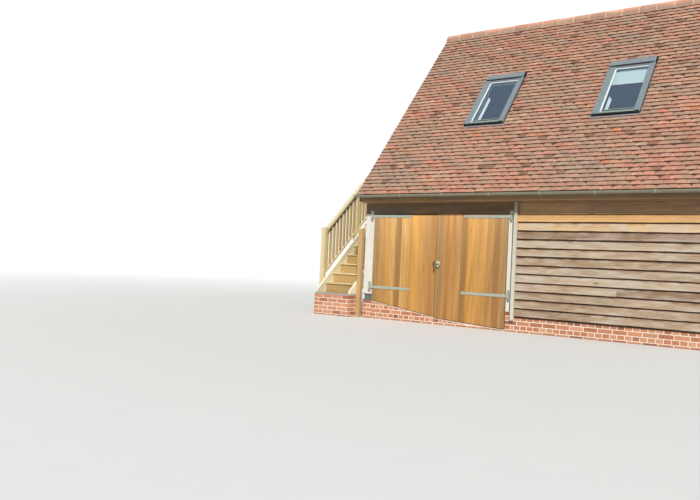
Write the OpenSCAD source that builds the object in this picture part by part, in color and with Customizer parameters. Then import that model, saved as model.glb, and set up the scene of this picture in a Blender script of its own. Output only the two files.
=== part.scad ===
// Oak-framed garage barn with a boarded bay, a loft under a steep tiled roof and an outside stair.
// Millimetres. +Z is up, +Y runs into the building and +X along its front, to the right.
// The origin is the middle of the floor's underside, at the level of the lowest ground.

/* [Building] */
// Length of the front over the corner posts
building_l = 6360; // [6300:10:6600]
// Depth from the face of the front posts to the face of the back posts
building_d = 5900; // [5800:10:6100]
// Underside of the eaves beams, which is the top of the doorway
beam_z = 1980; // [1960:5:2040]
// Height of the eaves beams
beam_h = 200; // [180:5:220]
// Width of a post, along the front
post_w = 203; // [190:1:215]
// Depth of a post, into the building
post_d = 200; // [190:1:205]

/* [Masonry] */
// Thickness of the plinth walls
plinth_t = 215; // [210:1:225]
// Height of the plinth on the downhill side
plinth_h = 330; // [315:1:345]
// Height of the plinth on the uphill side
high_plinth_h = 580; // [560:1:600]
// Height of the brick pier under the left post
pier_h = 340; // [336:1:350]
// Thickness of the floor slab
slab_t = 60; // [50:1:80]

/* [Walls] */
// Thickness of the studwork behind the boards
wall_t = 150; // [140:1:160]
// Height of each weatherboard that shows
board_gauge = 144.4; // [138:0.1:150]
// Thickness of a weatherboard at its lower edge
board_t = 30; // [26:1:34]
// Thickness of a weatherboard at its upper edge
board_thin = 10; // [8:1:14]
// How far the lowest board hangs past the top of the plinth
board_drip = 61; // [40:1:70]
// Width of the boards that trim the ends of the weatherboards
trim_w = 58; // [50:1:65]
// How far the trim boards stand out from the posts
trim_t = 60; // [50:1:65]
// How far the trim boards hang below the weatherboards
trim_drop = 72; // [40:1:80]
// Distance from a front post's outer edge in to the end of the weatherboards
post_cover = 173; // [150:1:190]

/* [Roof] */
// Slope of the roof in degrees
roof_pitch = 50; // [48:0.5:52]
// Height of the tiles' lower edge at the eaves
eaves_z = 2340; // [2320:5:2360]
// How far the tiles reach past the face of the posts at the eaves
eaves_over = 283; // [275:1:300]
// How far the roof reaches past the gable walls
verge_over = 45; // [30:1:60]
// Thickness of the whole roof, square to its slope
roof_t = 150; // [140:1:165]
// Distance from one course of tiles to the next
tile_gauge = 99; // [95:1:110]
// Step from one course of tiles down to the next
tile_step = 12; // [8:1:16]
// Depth of the tiles' tail at the eaves
tail_t = 30; // [24:1:36]
// Thickness of the bargeboards
barge_t = 22; // [18:1:26]
// Outer radius of the ridge tiles
ridge_r = 120; // [110:1:130]

/* [Eaves] */
// Thickness of the fascia board
fascia_t = 20; // [16:1:25]
// How far the tiles reach past the fascia
tile_drip = 40; // [30:1:50]
// Drop from the tiles' lower edge to the underside of the soffit
soffit_drop = 150; // [140:1:158]
// Thickness of the soffit board
soffit_t = 15; // [10:1:18]
// How far the eaves boards stop short of each corner of the building
eaves_inset = 30; // [20:1:60]
// Outer radius of the half-round gutters
gutter_r = 45; // [40:1:60]
// Thickness of the gutters' sheet
gutter_t = 4; // [3:0.5:5]
// How far the gutters reach past the corners of the building
gutter_over = 80; // [70:1:100]
// Drop from the tiles' lower edge to the gutters' rim
gutter_drop = 25; // [20:1:32]
// Width of a gutter bracket
bracket_w = 28; // [20:1:35]
// Thickness of a gutter bracket
bracket_t = 4; // [3:0.5:6]
// Distance between gutter brackets, at most
bracket_gap = 900; // [800:10:1000]

/* [Roof windows] */
// Width of a roof window over its covers
window_w = 800; // [780:5:840]
// Length of a roof window over its covers, along the slope
window_l = 1465; // [1430:5:1500]
// Distance from the eaves up the slope to a window's lower edge
window_s = 1794; // [1770:1:1830]
// Distance between the two windows' middles
window_cc = 2444; // [2380:5:2500]
// Overlap of the covers past the frame on each side
cover_lap = 20; // [15:1:25]
// Height of the covers above the tiles
cover_h = 52; // [38:1:58]
// Width of the covers, seen from above
cover_w = 80; // [70:1:90]
// Length of the hood over a window's upper edge
hood_l = 125; // [110:1:160]
// Thickness of a window frame's lining
lining_t = 45; // [40:1:50]
// Thickness of the glazing
glass_t = 24; // [20:1:28]
// Share of the glass that the blind hides
blind_share = 0.40; // [0.25:0.01:0.6]

/* [Garage doors] */
// Clear width between the door posts
doorway_w = 2762; // [2700:2:2800]
// Gap between a leaf and its post
leaf_gap = 5; // [5:0.5:8]
// Gap between the two leaves
meeting_gap = 10; // [10:0.5:14]
// Thickness of the doors' upright boards
leaf_t = 22; // [19:1:26]
// How far the boards stand out from the face of the posts
leaf_out = 12; // [10:1:14]
// Number of boards in a leaf
leaf_boards = 11; // [9:1:13]
// Height of the left leaf's lower edge at its post
left_leaf_low = 345; // [335:1:360]
// Height of the left leaf's lower edge at the middle
left_leaf_mid = 140; // [130:1:150]
// Height of the right leaf's lower edge at the middle
right_leaf_mid = 120; // [112:1:128]
// Height of the right leaf's lower edge at its post
right_leaf_low = 32; // [28:1:40]
// Drop from the beam to the top of the left leaf
left_leaf_drop = 15; // [10:1:20]
// Drop from the beam to the top of the right leaf
right_leaf_drop = 6; // [5:1:12]
// Gap between the masonry and the leaves above it
kerb_gap = 12; // [8:1:16]
// Thickness of the ledges and braces behind the boards
ledge_t = 35; // [30:1:40]
// Height of a ledge
ledge_h = 150; // [130:1:170]

/* [Hinges] */
// Radius of the hinge pins
pin_r = 9.5; // [8:0.1:10]
// Outer radius of the straps' eyes
eye_r = 15; // [14:0.1:16]
// Clearance between an eye and its pin, and between an eye and its shoulder
pin_gap = 0.3; // [0.2:0.05:0.5]
// Distance from the edge of the doorway to the pins' axis
pin_side = 55; // [50:1:60]
// Distance from the face of the posts out to the pins' axis
pin_out = 28; // [27:0.5:30]
// Length of a strap from the pin to its tip
strap_l = 907; // [850:1:960]
// Height of a strap at its eye
strap_h = 52; // [44:1:56]
// Radius of a strap's rounded tip
strap_tip = 24; // [18:1:26]
// Thickness of a strap
strap_t = 8; // [6:0.5:9]
// Height of the lower straps' middle
low_strap_z = 595; // [570:1:610]
// Drop from the beam to the upper straps' middle
high_strap_drop = 40; // [36:1:60]
// Width of a hook's back plate
plate_w = 60; // [50:1:80]
// Height of a hook's back plate
plate_h = 200; // [180:1:220]
// Thickness of a hook's back plate
plate_t = 6; // [4:0.5:8]

/* [Stair] */
// Level of the ground at the foot of the stair
stair_ground_z = 425; // [415:1:430]
// Number of risers in the flight
risers_n = 10; // [9:1:11]
// Going of each tread
going = 220; // [215:1:228]
// Distance from the face of the front posts back to the first nosing
stair_y = 50; // [45:1:60]
// Clear width between the strings
stair_clear = 754; // [720:1:790]
// Thickness of the strings
string_t = 38; // [34:1:42]
// Depth of the strings, square to their slope
string_d = 240; // [235:1:250]
// Height of the strings' top edge above the nosings
string_up = 76; // [65:1:85]
// Reach of the strings past the front of the foot newels
string_foot = 200; // [150:5:230]
// Depth of the housings that the treads and risers sit in
housing = 12; // [10:1:14]
// Thickness of the treads
tread_t = 25; // [22:1:30]
// Overhang of a nosing past its riser
nosing = 25; // [20:1:30]
// Thickness of the risers
riser_t = 18; // [15:1:20]
// Side of a newel post
newel_w = 90; // [85:1:95]
// Gap between the gable wall and the inner newels
newel_gap = 80; // [70:1:90]

/* [Balustrade] */
// Height of the handrail above the nosings
rail_up = 1047; // [1000:1:1060]
// Width of the handrail
rail_w = 90; // [80:1:95]
// Thickness of the handrail, square to its slope
rail_t = 60; // [55:1:65]
// Radius on the handrail's upper edges
rail_round = 14; // [8:1:18]
// Height of the base rail's top above the nosings
base_up = 192; // [180:1:200]
// Thickness of the base rail, square to its slope
base_t = 45; // [40:1:50]
// Width of the base rail
base_w = 62; // [55:1:70]
// Side of a baluster
baluster_w = 41; // [36:1:44]
// Distance between balusters, at most
baluster_gap = 110; // [105:1:120]
// Distance from the foot newel to the middle newel, face to face
newel_run = 980; // [940:5:1000]
// Height of the newels' tops above the handrail where it meets them
newel_top = 25; // [18:1:60]
// Bevel round the newels' tops
newel_bevel = 14; // [5:1:16]

/* [Landing] */
// Length of the landing along the gable wall
landing_l = 1570; // [1500:10:1650]
// Height of the landing's handrail above its deck
landing_rail = 1000; // [950:5:1030]
// Thickness of the landing's joists
landing_joist = 45; // [40:1:50]
// Height of the landing's joists
landing_joist_h = 170; // [160:1:180]

/* [Loft] */
// Height of the floor joists
joist_h = 170; // [160:1:180]
// Thickness of the floor joists
joist_w = 50; // [45:1:55]
// Distance between floor joists, at most
joist_gap = 450; // [400:5:500]
// Thickness of the loft's floorboards
floor_t = 25; // [22:1:28]
// Width of the loft doorway
loft_door_w = 860; // [820:5:900]
// Height of the loft doorway
loft_door_h = 1980; // [1950:5:2020]
// Thickness of the loft door's frame
frame_t = 40; // [32:1:45]
// Width of the eaves' wall plates
plate_d = 100; // [95:1:120]
// Width of the rafters' seat on the wall plates
seat_w = 63; // [50:1:70]

/* [Hidden] */
$fn = 48;

// Colours, as the timber, brick, tile and metal look in daylight
brick_red = [0.72, 0.45, 0.34];
silver_oak = [0.84, 0.82, 0.75];
shaded_oak = [0.50, 0.42, 0.32];
board_oak = [0.66, 0.57, 0.46];
door_oak = [0.80, 0.54, 0.30];
new_timber = [0.86, 0.74, 0.50];
clay = [0.68, 0.42, 0.33];
ridge_clay = [0.78, 0.66, 0.50];
grey_metal = [0.45, 0.49, 0.47];
zinc = [0.64, 0.68, 0.66];
pane = [0.40, 0.50, 0.58];

// Places along the front
middle_x = building_l / 2;
right_post_x = post_w + doorway_w;
meeting_x = post_w + doorway_w / 2;
boards_x = right_post_x + post_cover;
bay_end_x = building_l - post_cover;
wall_in = board_t + wall_t;
plinth_in = board_t + plinth_t;

// Heights
beam_top = beam_z + beam_h;
loft_z = beam_top + joist_h + floor_t;
lap_z = plinth_h - board_drip;
high_lap_z = lap_z + 2 * board_gauge;

// Roof slopes: s runs up the slope from the eaves, h stands square to it
ridge_y = building_d / 2;
roof_run = ridge_y + eaves_over;
slope_l = roof_run / cos(roof_pitch);
ridge_z = eaves_z + roof_run * tan(roof_pitch);
courses = round(slope_l / tile_gauge);
course_l = slope_l / courses;
function slope_point(s, h) = [
  -eaves_over + s * cos(roof_pitch) - h * sin(roof_pitch),
  eaves_z + s * sin(roof_pitch) + h * cos(roof_pitch)
];
function slope_z(y, h) = eaves_z + (y + eaves_over) * tan(roof_pitch) + h / cos(roof_pitch);
plate_top = slope_z(seat_w, -roof_t);
fascia_y = tile_drip - eaves_over;
soffit_z = eaves_z - soffit_drop;
foot_y = fascia_y + fascia_t;
// The rafters' feet are cut level above the soffit, from the fascia back to the slopes' underside
soffit_gap = 0.5;
feet_z = max(soffit_z + soffit_t + soffit_gap, slope_z(foot_y + 1, -roof_t));
feet_y = (feet_z - eaves_z + roof_t / cos(roof_pitch)) / tan(roof_pitch) - eaves_over;
gutter_y = fascia_y - bracket_t - gutter_r;
gutter_z = eaves_z - gutter_drop;

// Roof windows
frame_w = window_w - 2 * cover_lap;
frame_l = window_l - 2 * cover_lap;
window_xs = [middle_x - window_cc / 2, middle_x + window_cc / 2];
frame_top = cover_h - 15;
sash_t = 40;
sash_d = 60;

// Garage doors
left_leaf_x = post_w + leaf_gap;
left_leaf_w = doorway_w / 2 - leaf_gap - meeting_gap / 2;
low_pin_z = low_strap_z;
high_pin_z = beam_z - high_strap_drop;
pin_x = post_w - pin_side;
eye_back = pin_out - leaf_out;

// Stair: the flight climbs along +Y beside the left gable wall
rise = (loft_z - stair_ground_z) / risers_n;
climb = atan(rise / going);
landing_y = stair_y + (risers_n - 1) * going;
wall_newel_x = -newel_gap - newel_w;
wall_string_x = wall_newel_x - string_t;
outer_string_x = wall_string_x - stair_clear - string_t;
outer_newel_x = outer_string_x - newel_w;
rail_x = outer_newel_x + newel_w / 2;
wall_rail_x = wall_newel_x + newel_w / 2;
// Height of the line through the nosings, above the first tread's ground line
function nosing_z(y) = stair_ground_z + rise + (y - stair_y) * rise / going;
foot_newel_top = nosing_z(newel_w) + rail_up + newel_top;
mid_newel_y = newel_w + newel_run;
mid_newel_top = nosing_z(mid_newel_y) + rail_up - rail_t / cos(climb);
top_newel_y = landing_y + 10;
top_newel_top = nosing_z(top_newel_y) + rail_up + newel_top;
end_newel_y = landing_y + landing_l - newel_w;
end_newel_top = loft_z + landing_rail + newel_top;
landing_under = loft_z - floor_t - landing_joist_h;
loft_door_y = ridge_y - loft_door_w / 2;

// Moves a shape drawn from the front left corner of the posts into the part's frame
module placed() {
  translate([-building_l / 2, -building_d / 2, 0]) children();
}

// A box between two opposite corners
module box(low, high) {
  translate(low) cube(high - low);
}

// Extrudes an outline of Y and Z along X
module along_x(x0, x1) {
  translate([x0, 0, 0]) rotate([90, 0, 90]) linear_extrude(x1 - x0) children();
}

// Extrudes an outline of X and Z along Y
module along_y(y0, y1) {
  translate([0, y1, 0]) rotate([90, 0, 0]) linear_extrude(y1 - y0) children();
}

// Places a shape on the front roof: its y runs up the slope and its z stands off it
module on_slope() {
  translate([0, -eaves_over, eaves_z]) rotate([roof_pitch, 0, 0]) children();
}

// The same shape at the front and mirrored to the back
module front_and_back() {
  children();
  back_side() children();
}

// Mirrors a shape from the front of the building to its back
module back_side() {
  translate([0, building_d, 0]) mirror([0, 1, 0]) children();
}

// Mirrors a shape from the left leaf to the right leaf
module right_leaf_side() {
  translate([2 * meeting_x, 0, 0]) mirror([1, 0, 0]) children();
}

// Masonry

module front_plinth() color(brick_red) placed() along_y(0, plinth_t) polygon([
  [0, 0], [building_l, 0], [building_l, plinth_h], [right_post_x, plinth_h],
  [right_post_x, right_leaf_low - kerb_gap], [meeting_x, right_leaf_mid - kerb_gap],
  [meeting_x, left_leaf_mid - kerb_gap], [post_w, left_leaf_low - kerb_gap],
  [post_w, pier_h], [0, pier_h]
]);

module back_plinth() color(brick_red) placed() along_y(building_d - plinth_t, building_d) polygon([
  [0, 0], [building_l, 0], [building_l, plinth_h], [right_post_x + post_w, plinth_h],
  [right_post_x + post_w, high_plinth_h], [0, high_plinth_h]
]);

module gable_plinths() color(brick_red) placed() {
  box([board_t, plinth_t, 0], [plinth_in, building_d - plinth_t, high_plinth_h]);
  box([building_l - plinth_in, plinth_t, 0],
      [building_l - board_t, building_d - plinth_t, plinth_h]);
}

module floor_slab() color([0.62, 0.60, 0.57]) placed()
  box([plinth_in, plinth_t, 0], [building_l - plinth_in, building_d - plinth_t, slab_t]);

module stair_pad() color(brick_red) placed()
  box([outer_string_x, -string_foot - 40, 0], [wall_newel_x, stair_y + going / 2, stair_ground_z]);

// Oak frame

module left_door_post() color(silver_oak) placed()
  box([0, 0, pier_h + shoe_h], [post_w, post_d, beam_z]);

// Height of the steel shoe under the left post
shoe_h = 120;
// Thickness of the shoe's two plates
shoe_plate = 12;

module post_shoe() color(grey_metal) placed() {
  box([0, 0, pier_h], [post_w, post_d, pier_h + shoe_plate]);
  box([25, 25, pier_h + shoe_plate], [post_w - 25, post_d - 25, pier_h + shoe_h - shoe_plate]);
  box([0, 0, pier_h + shoe_h - shoe_plate], [post_w, post_d, pier_h + shoe_h]);
}

module right_door_post() color(silver_oak) placed()
  box([right_post_x, 0, plinth_h], [right_post_x + post_w, post_d, beam_z]);

module corner_posts() color(silver_oak) placed() {
  box([building_l - post_w, 0, plinth_h], [building_l, post_d, beam_z]);
  back_side() {
    box([building_l - post_w, 0, plinth_h], [building_l, post_d, beam_z]);
    box([right_post_x, 0, high_plinth_h], [right_post_x + post_w, post_d, beam_z]);
    box([0, 0, high_plinth_h], [post_w, post_d, beam_z]);
  }
}

module eaves_beams() color(shaded_oak) placed() front_and_back()
  box([0, 0, beam_z], [building_l, post_d, beam_top]);

module wall_plates() color(shaded_oak) placed() front_and_back()
  box([0, 0, beam_top], [building_l, plate_d, plate_top]);

module floor_beam() color(shaded_oak) placed()
  box([right_post_x, post_d, beam_z], [right_post_x + post_w, building_d - post_d, beam_top]);

module floor_joists() color(new_timber) placed() {
  run = building_d - 2 * plate_d - joist_w;
  count = ceil(run / joist_gap);
  for (i = [0 : count]) {
    y = plate_d + i * run / count;
    box([wall_in, y, beam_top], [building_l - wall_in, y + joist_w, beam_top + joist_h]);
  }
}

module loft_floor() color(new_timber) placed() box(
  [wall_in, plate_d, loft_z - floor_t],
  [building_l - wall_in, building_d - plate_d, loft_z]
);

// Walls

// Outline of lapped boards from one height to another, with their backs at 0
function lap_count(z0, z1) = ceil((z1 - z0) / board_gauge);
function lap_out(z0, z) = board_t
  - (board_t - board_thin) * ((z - z0) / board_gauge - floor((z - z0 - 0.01) / board_gauge));
function lap_outline(z0, z1) = concat(
  [[0, z0]],
  [for (i = [0 : lap_count(z0, z1) - 1]) each [
    [board_t, z0 + i * board_gauge],
    i < lap_count(z0, z1) - 1
      ? [board_thin, z0 + (i + 1) * board_gauge]
      : [lap_out(z0, z1), z1]
  ]],
  [[0, z1]]
);

module front_wall() color(board_oak) placed() {
  box([right_post_x + post_w, 0, plinth_h], [building_l - post_w, wall_t, beam_z]);
  along_x(boards_x, bay_end_x) mirror([1, 0]) polygon(lap_outline(lap_z, beam_z));
}

module back_wall() color(board_oak) placed() back_side() {
  box([right_post_x + post_w, 0, plinth_h], [building_l - post_w, wall_t, beam_z]);
  box([post_w, 0, high_plinth_h], [right_post_x, wall_t, beam_z]);
  along_x(trim_w, right_post_x + post_w) mirror([1, 0]) polygon(lap_outline(high_lap_z, beam_z));
  along_x(right_post_x + post_w, building_l - trim_w)
    mirror([1, 0]) polygon(lap_outline(lap_z, beam_z));
}

// Outline of a gable wall: between the posts, over the beams and plates and under the roof
module gable_outline(z0) polygon([
  [post_d, z0], [building_d - post_d, z0],
  [building_d - post_d, beam_top], [building_d - plate_d, beam_top],
  [building_d - plate_d, slope_z(plate_d, -roof_t)],
  [ridge_y, slope_z(ridge_y, -roof_t)],
  [plate_d, slope_z(plate_d, -roof_t)],
  [plate_d, beam_top], [post_d, beam_top]
]);

// Studwork over a gable's plinth, and lapped boards that stop against the front and back plinths
module gable_wall(z_plinth, z_lap) {
  along_x(board_t, wall_in) gable_outline(z_plinth);
  difference() {
    intersection() {
      along_x(0, board_t) gable_outline(z_lap);
      translate([board_t, 0, 0]) along_y(0, building_d)
        mirror([1, 0]) polygon(lap_outline(z_lap, slope_z(ridge_y, -roof_t)));
    }
    for (y = [0, building_d - plinth_t])
      box([-1, y, 0], [board_t + 1, y + plinth_t, z_plinth]);
  }
}

module left_gable_wall() color(board_oak) placed() difference() {
  gable_wall(high_plinth_h, high_lap_z);
  box([-1, loft_door_y, loft_z], [wall_in + 1, loft_door_y + loft_door_w, loft_z + loft_door_h]);
}

module right_gable_wall() color(board_oak) placed()
  translate([building_l, 0, 0]) mirror([1, 0, 0]) gable_wall(plinth_h, lap_z);

module trim_boards() color(silver_oak) placed() {
  box([boards_x - trim_w, -trim_t, lap_z - trim_drop], [boards_x, 0, soffit_z]);
  box([bay_end_x, -trim_t, lap_z - trim_drop], [bay_end_x + trim_w, 0, soffit_z]);
  back_side() {
    box([0, -trim_t, high_lap_z - trim_drop], [trim_w, 0, soffit_z]);
    box([building_l - trim_w, -trim_t, lap_z - trim_drop], [building_l, 0, soffit_z]);
  }
}

// Roof

// The courses' stepped top, from the eaves to the ridge
function course_tops() = concat(
  [for (i = [0 : courses - 2]) each [
    slope_point(i * course_l, 0),
    slope_point((i + 1) * course_l, -tile_step)
  ]],
  [slope_point((courses - 1) * course_l, 0), [ridge_y, ridge_z - tile_step / cos(roof_pitch)]]
);

// Outline of the tiles alone
module tile_outline() polygon(concat(
  course_tops(),
  [[ridge_y, slope_z(ridge_y, -tail_t)], slope_point(0, -tail_t)]
));

// Outline of one whole slope, with the rafters' seat and feet below
module slope_outline() polygon(concat(
  course_tops(),
  [
    [ridge_y, slope_z(ridge_y, -roof_t)],
    [seat_w, plate_top],
    [0, plate_top],
    [0, slope_z(0, -roof_t)],
    [feet_y, feet_z], [foot_y, feet_z],
    [foot_y, slope_z(foot_y, -tail_t)],
    slope_point(0, -tail_t)
  ]
));

// One slope: the rafters and lining end at the gables and the tiles run on over the verges
module slope() {
  along_x(-verge_over, building_l + verge_over) tile_outline();
  along_x(0, building_l) slope_outline();
}

module front_roof() color(clay) placed() difference() {
  slope();
  on_slope() for (x = window_xs)
    box([x - frame_w / 2, window_s + cover_lap, -2 * roof_t],
        [x + frame_w / 2, window_s + cover_lap + frame_l, roof_t]);
}

module back_roof() color(clay) placed() back_side() slope();

// Boards under the tiles' edges at both gables, mitred at the ridge
module bargeboards() color(shaded_oak) placed() for (x = [-barge_t, building_l])
  along_x(x, x + barge_t) polygon([
    [foot_y, slope_z(foot_y, -tail_t)], [ridge_y, slope_z(ridge_y, -tail_t)],
    [building_d - foot_y, slope_z(foot_y, -tail_t)],
    [building_d - foot_y, feet_z], [building_d - feet_y, feet_z],
    [ridge_y, slope_z(ridge_y, -roof_t)],
    [feet_y, feet_z], [foot_y, feet_z]
  ]);

// Height of the ridge tiles' centre line below the meeting of the slopes
ridge_sink = 95;

module ridge_tiles() color(ridge_clay) placed()
  along_x(-verge_over, building_l + verge_over) difference() {
    foot_z = slope_z(ridge_y - ridge_r, 0);
    union() {
      translate([ridge_y, ridge_z - ridge_sink]) circle(ridge_r);
      translate([ridge_y - ridge_r, foot_z])
        square([2 * ridge_r, ridge_z - ridge_sink - foot_z]);
    }
    polygon([
      [ridge_y - 2 * ridge_r, slope_z(ridge_y - 2 * ridge_r, 0)],
      [ridge_y, ridge_z],
      [ridge_y + 2 * ridge_r, slope_z(ridge_y - 2 * ridge_r, 0)]
    ]);
  }

// Gap between the fascia's top and the tiles
fascia_gap = 0.5;

module eaves_boards() color(shaded_oak) placed() front_and_back()
  along_x(eaves_inset, building_l - eaves_inset) polygon([
    [fascia_y, soffit_z], [0, soffit_z], [0, soffit_z + soffit_t],
    [foot_y, soffit_z + soffit_t],
    [foot_y, slope_z(foot_y, -tail_t) - fascia_gap],
    [fascia_y, slope_z(fascia_y, -tail_t) - fascia_gap]
  ]);

module gutter() {
  x0 = -gutter_over;
  x1 = building_l + gutter_over;
  along_x(x0, x1) translate([gutter_y, gutter_z]) half_ring(gutter_r, gutter_t);
  for (x = [x0, x1 - gutter_t])
    along_x(x, x + gutter_t) translate([gutter_y, gutter_z]) half_ring(gutter_r, gutter_r);
  run = building_l - 2 * eaves_inset - bracket_w;
  count = ceil(run / bracket_gap);
  for (i = [0 : count])
    gutter_bracket(eaves_inset + i * run / count);
}

// The lower half of a ring of the given outer radius and thickness
module half_ring(r, t) intersection() {
  difference() {
    circle(r);
    if (t < r) circle(r - t);
  }
  translate([-r, -r]) square([2 * r, r]);
}

module gutter_bracket(x) {
  along_x(x, x + bracket_w) {
    translate([gutter_y, gutter_z]) half_ring(gutter_r + bracket_t, bracket_t);
    translate([fascia_y - bracket_t, gutter_z - gutter_r]) square([bracket_t, gutter_r + 10]);
  }
}

module front_gutter() color(grey_metal) placed() gutter();

module back_gutter() color(grey_metal) placed() back_side() gutter();

// Roof windows

module roof_window_frames() color([0.88, 0.87, 0.83]) placed() on_slope() for (x = window_xs)
  translate([x, window_s + window_l / 2, 0]) {
    square_ring(frame_w, frame_l, lining_t, -roof_t, frame_top);
    square_ring(frame_w - 2 * lining_t + 1, frame_l - 2 * lining_t + 1, sash_t,
                frame_top - glass_t - sash_d, frame_top - glass_t);
  }

// A rectangular ring centred on the origin, of width w and length l, between two heights
module square_ring(w, l, t, z0, z1) difference() {
  translate([-w / 2, -l / 2, z0]) cube([w, l, z1 - z0]);
  translate([t - w / 2, t - l / 2, z0 - 1]) cube([w - 2 * t, l - 2 * t, z1 - z0 + 2]);
}

module roof_window_covers() color(grey_metal) placed() on_slope() for (x = window_xs)
  translate([x, window_s + window_l / 2, 0]) {
    square_ring(window_w, window_l, cover_lap, 0, cover_h);
    square_ring(window_w, window_l, cover_w, frame_top, cover_h);
    translate([-window_w / 2, window_l / 2 - hood_l, cover_h]) cube([window_w, hood_l, 18]);
  }

module roof_window_glass() color(pane) placed() on_slope() for (x = window_xs)
  translate([x, window_s + window_l / 2, 0]) {
    w = frame_w - 2 * lining_t;
    l = frame_l - 2 * lining_t;
    translate([-w / 2, -l / 2, frame_top - glass_t]) cube([w, l, glass_t]);
  }

// Reach of the lead apron below a window, and of the flashing at its sides and top
apron_l = 60;
flashing_w = 35;
flashing_t = 3;

module roof_window_flashings() color([0.36, 0.38, 0.38]) placed() on_slope() for (x = window_xs)
  difference() {
    box([x - window_w / 2 - flashing_w, window_s - apron_l, 0],
        [x + window_w / 2 + flashing_w, window_s + window_l + flashing_w, flashing_t]);
    box([x - window_w / 2, window_s, -1],
        [x + window_w / 2, window_s + window_l, flashing_t + 1]);
  }

// Radius of the blind's roller, and thickness of its cloth
roller_r = 14;
blind_t = 2;

module window_blind() color([0.93, 0.90, 0.80]) placed() on_slope()
  translate([window_xs[1], window_s + window_l / 2, frame_top - glass_t]) {
    w = frame_w - 2 * lining_t - 2 * sash_t + 1;
    l = frame_l - 2 * lining_t - 2 * sash_t + 1;
    fall = l * blind_share;
    translate([-w / 2, l / 2 - roller_r, -roller_r - 6])
      rotate([0, 90, 0]) cylinder(r = roller_r, h = w);
    translate([-w / 2 + 6, l / 2 - fall, -roller_r - 6]) cube([w - 12, fall - roller_r, blind_t]);
  }

// Loft door

module loft_door_frame() color(new_timber) placed() difference() {
  box([0, loft_door_y, loft_z], [wall_in, loft_door_y + loft_door_w, loft_z + loft_door_h]);
  box([-1, loft_door_y + frame_t, loft_z + tread_t],
      [wall_in + 1, loft_door_y + loft_door_w - frame_t, loft_z + loft_door_h - frame_t]);
}

// Set-back and thickness of the loft door's leaf, and the gap round it
loft_leaf_x = 25;
loft_leaf_t = 44;
loft_leaf_gap = 3;

module loft_door() color(door_oak) placed() difference() {
  y0 = loft_door_y + frame_t + loft_leaf_gap;
  y1 = loft_door_y + loft_door_w - frame_t - loft_leaf_gap;
  z0 = loft_z + tread_t;
  z1 = loft_z + loft_door_h - frame_t - loft_leaf_gap;
  boards = 7;
  box([loft_leaf_x, y0, z0], [loft_leaf_x + loft_leaf_t, y1, z1]);
  for (i = [1 : boards - 1])
    box([loft_leaf_x - 1, y0 + i * (y1 - y0) / boards - 2, z0 - 1],
        [loft_leaf_x + 4, y0 + i * (y1 - y0) / boards + 2, z1 + 1]);
}

// Garage doors

// A ledged and braced leaf, drawn as the left one: its lower edge falls from the post to the middle
module leaf(low_z, mid_z, top_z) {
  x0 = left_leaf_x;
  x1 = left_leaf_x + left_leaf_w;
  back = leaf_t - leaf_out;
  board_w = left_leaf_w / leaf_boards;
  difference() {
    along_y(-leaf_out, back) polygon([[x0, low_z], [x1, mid_z], [x1, top_z], [x0, top_z]]);
    for (i = [1 : leaf_boards - 1])
      box([x0 + i * board_w - 2.5, -leaf_out - 1, 0], [x0 + i * board_w + 2.5, 4 - leaf_out, top_z + 1]);
  }
  ledge_zs = [low_strap_z, (low_strap_z + high_pin_z) / 2, high_pin_z - ledge_h / 4];
  for (z = ledge_zs)
    box([x0 + 30, back, z - ledge_h / 2], [x1 - 30, back + ledge_t, z + ledge_h / 2 - 30]);
  for (i = [0, 1])
    along_y(back, back + ledge_t) polygon([
      [x0 + 60, ledge_zs[i]], [x0 + 60 + ledge_h, ledge_zs[i]],
      [x1 - 60, ledge_zs[i + 1]], [x1 - 60 - ledge_h, ledge_zs[i + 1]]
    ]);
}

module left_door() color(door_oak) placed()
  leaf(left_leaf_low, left_leaf_mid, beam_z - left_leaf_drop);

module right_door() color(door_oak) placed() right_leaf_side()
  leaf(right_leaf_low, right_leaf_mid, beam_z - right_leaf_drop);

// A strap with its eye, the middle of its height at z; side is 1 on the left leaf, -1 on the right
module strap(side, z) translate([side > 0 ? pin_x : 2 * meeting_x - pin_x, 0, z]) difference() {
  tip = side * (strap_l - strap_tip);
  union() {
    along_y(-leaf_out - strap_t, -leaf_out) {
      polygon([[0, -strap_h / 2], [tip, -strap_tip], [tip, strap_tip], [0, strap_h / 2]]);
      translate([tip, 0]) circle(strap_tip);
    }
    translate([0, -pin_out, -strap_h / 2]) cylinder(r = eye_r, h = strap_h);
  }
  translate([0, -pin_out, -strap_h]) cylinder(r = pin_r + pin_gap, h = 2 * strap_h);
}

// Both straps of a leaf, the upper one kept clear of the beam
module straps(side) for (z = [low_pin_z, high_pin_z]) strap(side, z);

module left_straps() color(zinc) placed() straps(1);

module right_straps() color(zinc) placed() straps(-1);

// Height of a hook's shoulder, and of the pin that shows over the eye
shoulder_h = 24;
pin_end = 6;

// A hook: a plate on the post, a shoulder that carries the eye, and the pin
module hook(z) translate([pin_x, 0, z]) {
  shoulder_z = -strap_h / 2 - pin_gap - shoulder_h;
  box([-plate_w / 2, -plate_t, -plate_h / 2], [plate_w / 2, 0, plate_h / 2]);
  box([-eye_r + 1, -pin_out, shoulder_z], [eye_r - 1, -plate_t, shoulder_z + shoulder_h]);
  translate([0, -pin_out, shoulder_z]) cylinder(r = eye_r - 1, h = shoulder_h);
  translate([0, -pin_out, shoulder_z])
    cylinder(r = pin_r, h = shoulder_h + strap_h + pin_gap + pin_end);
}

module hinge_hooks() color(zinc) placed() for (z = [low_pin_z, high_pin_z]) {
  hook(z);
  right_leaf_side() hook(z);
}

// Ring latch, on the face of the right leaf beside the meeting edge
latch_z = 1085;
latch_w = 70;
latch_h = 100;
latch_edge = 12;
latch_plate_t = 4;
latch_ring_r = 36;
latch_bar_r = 5;

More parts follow.
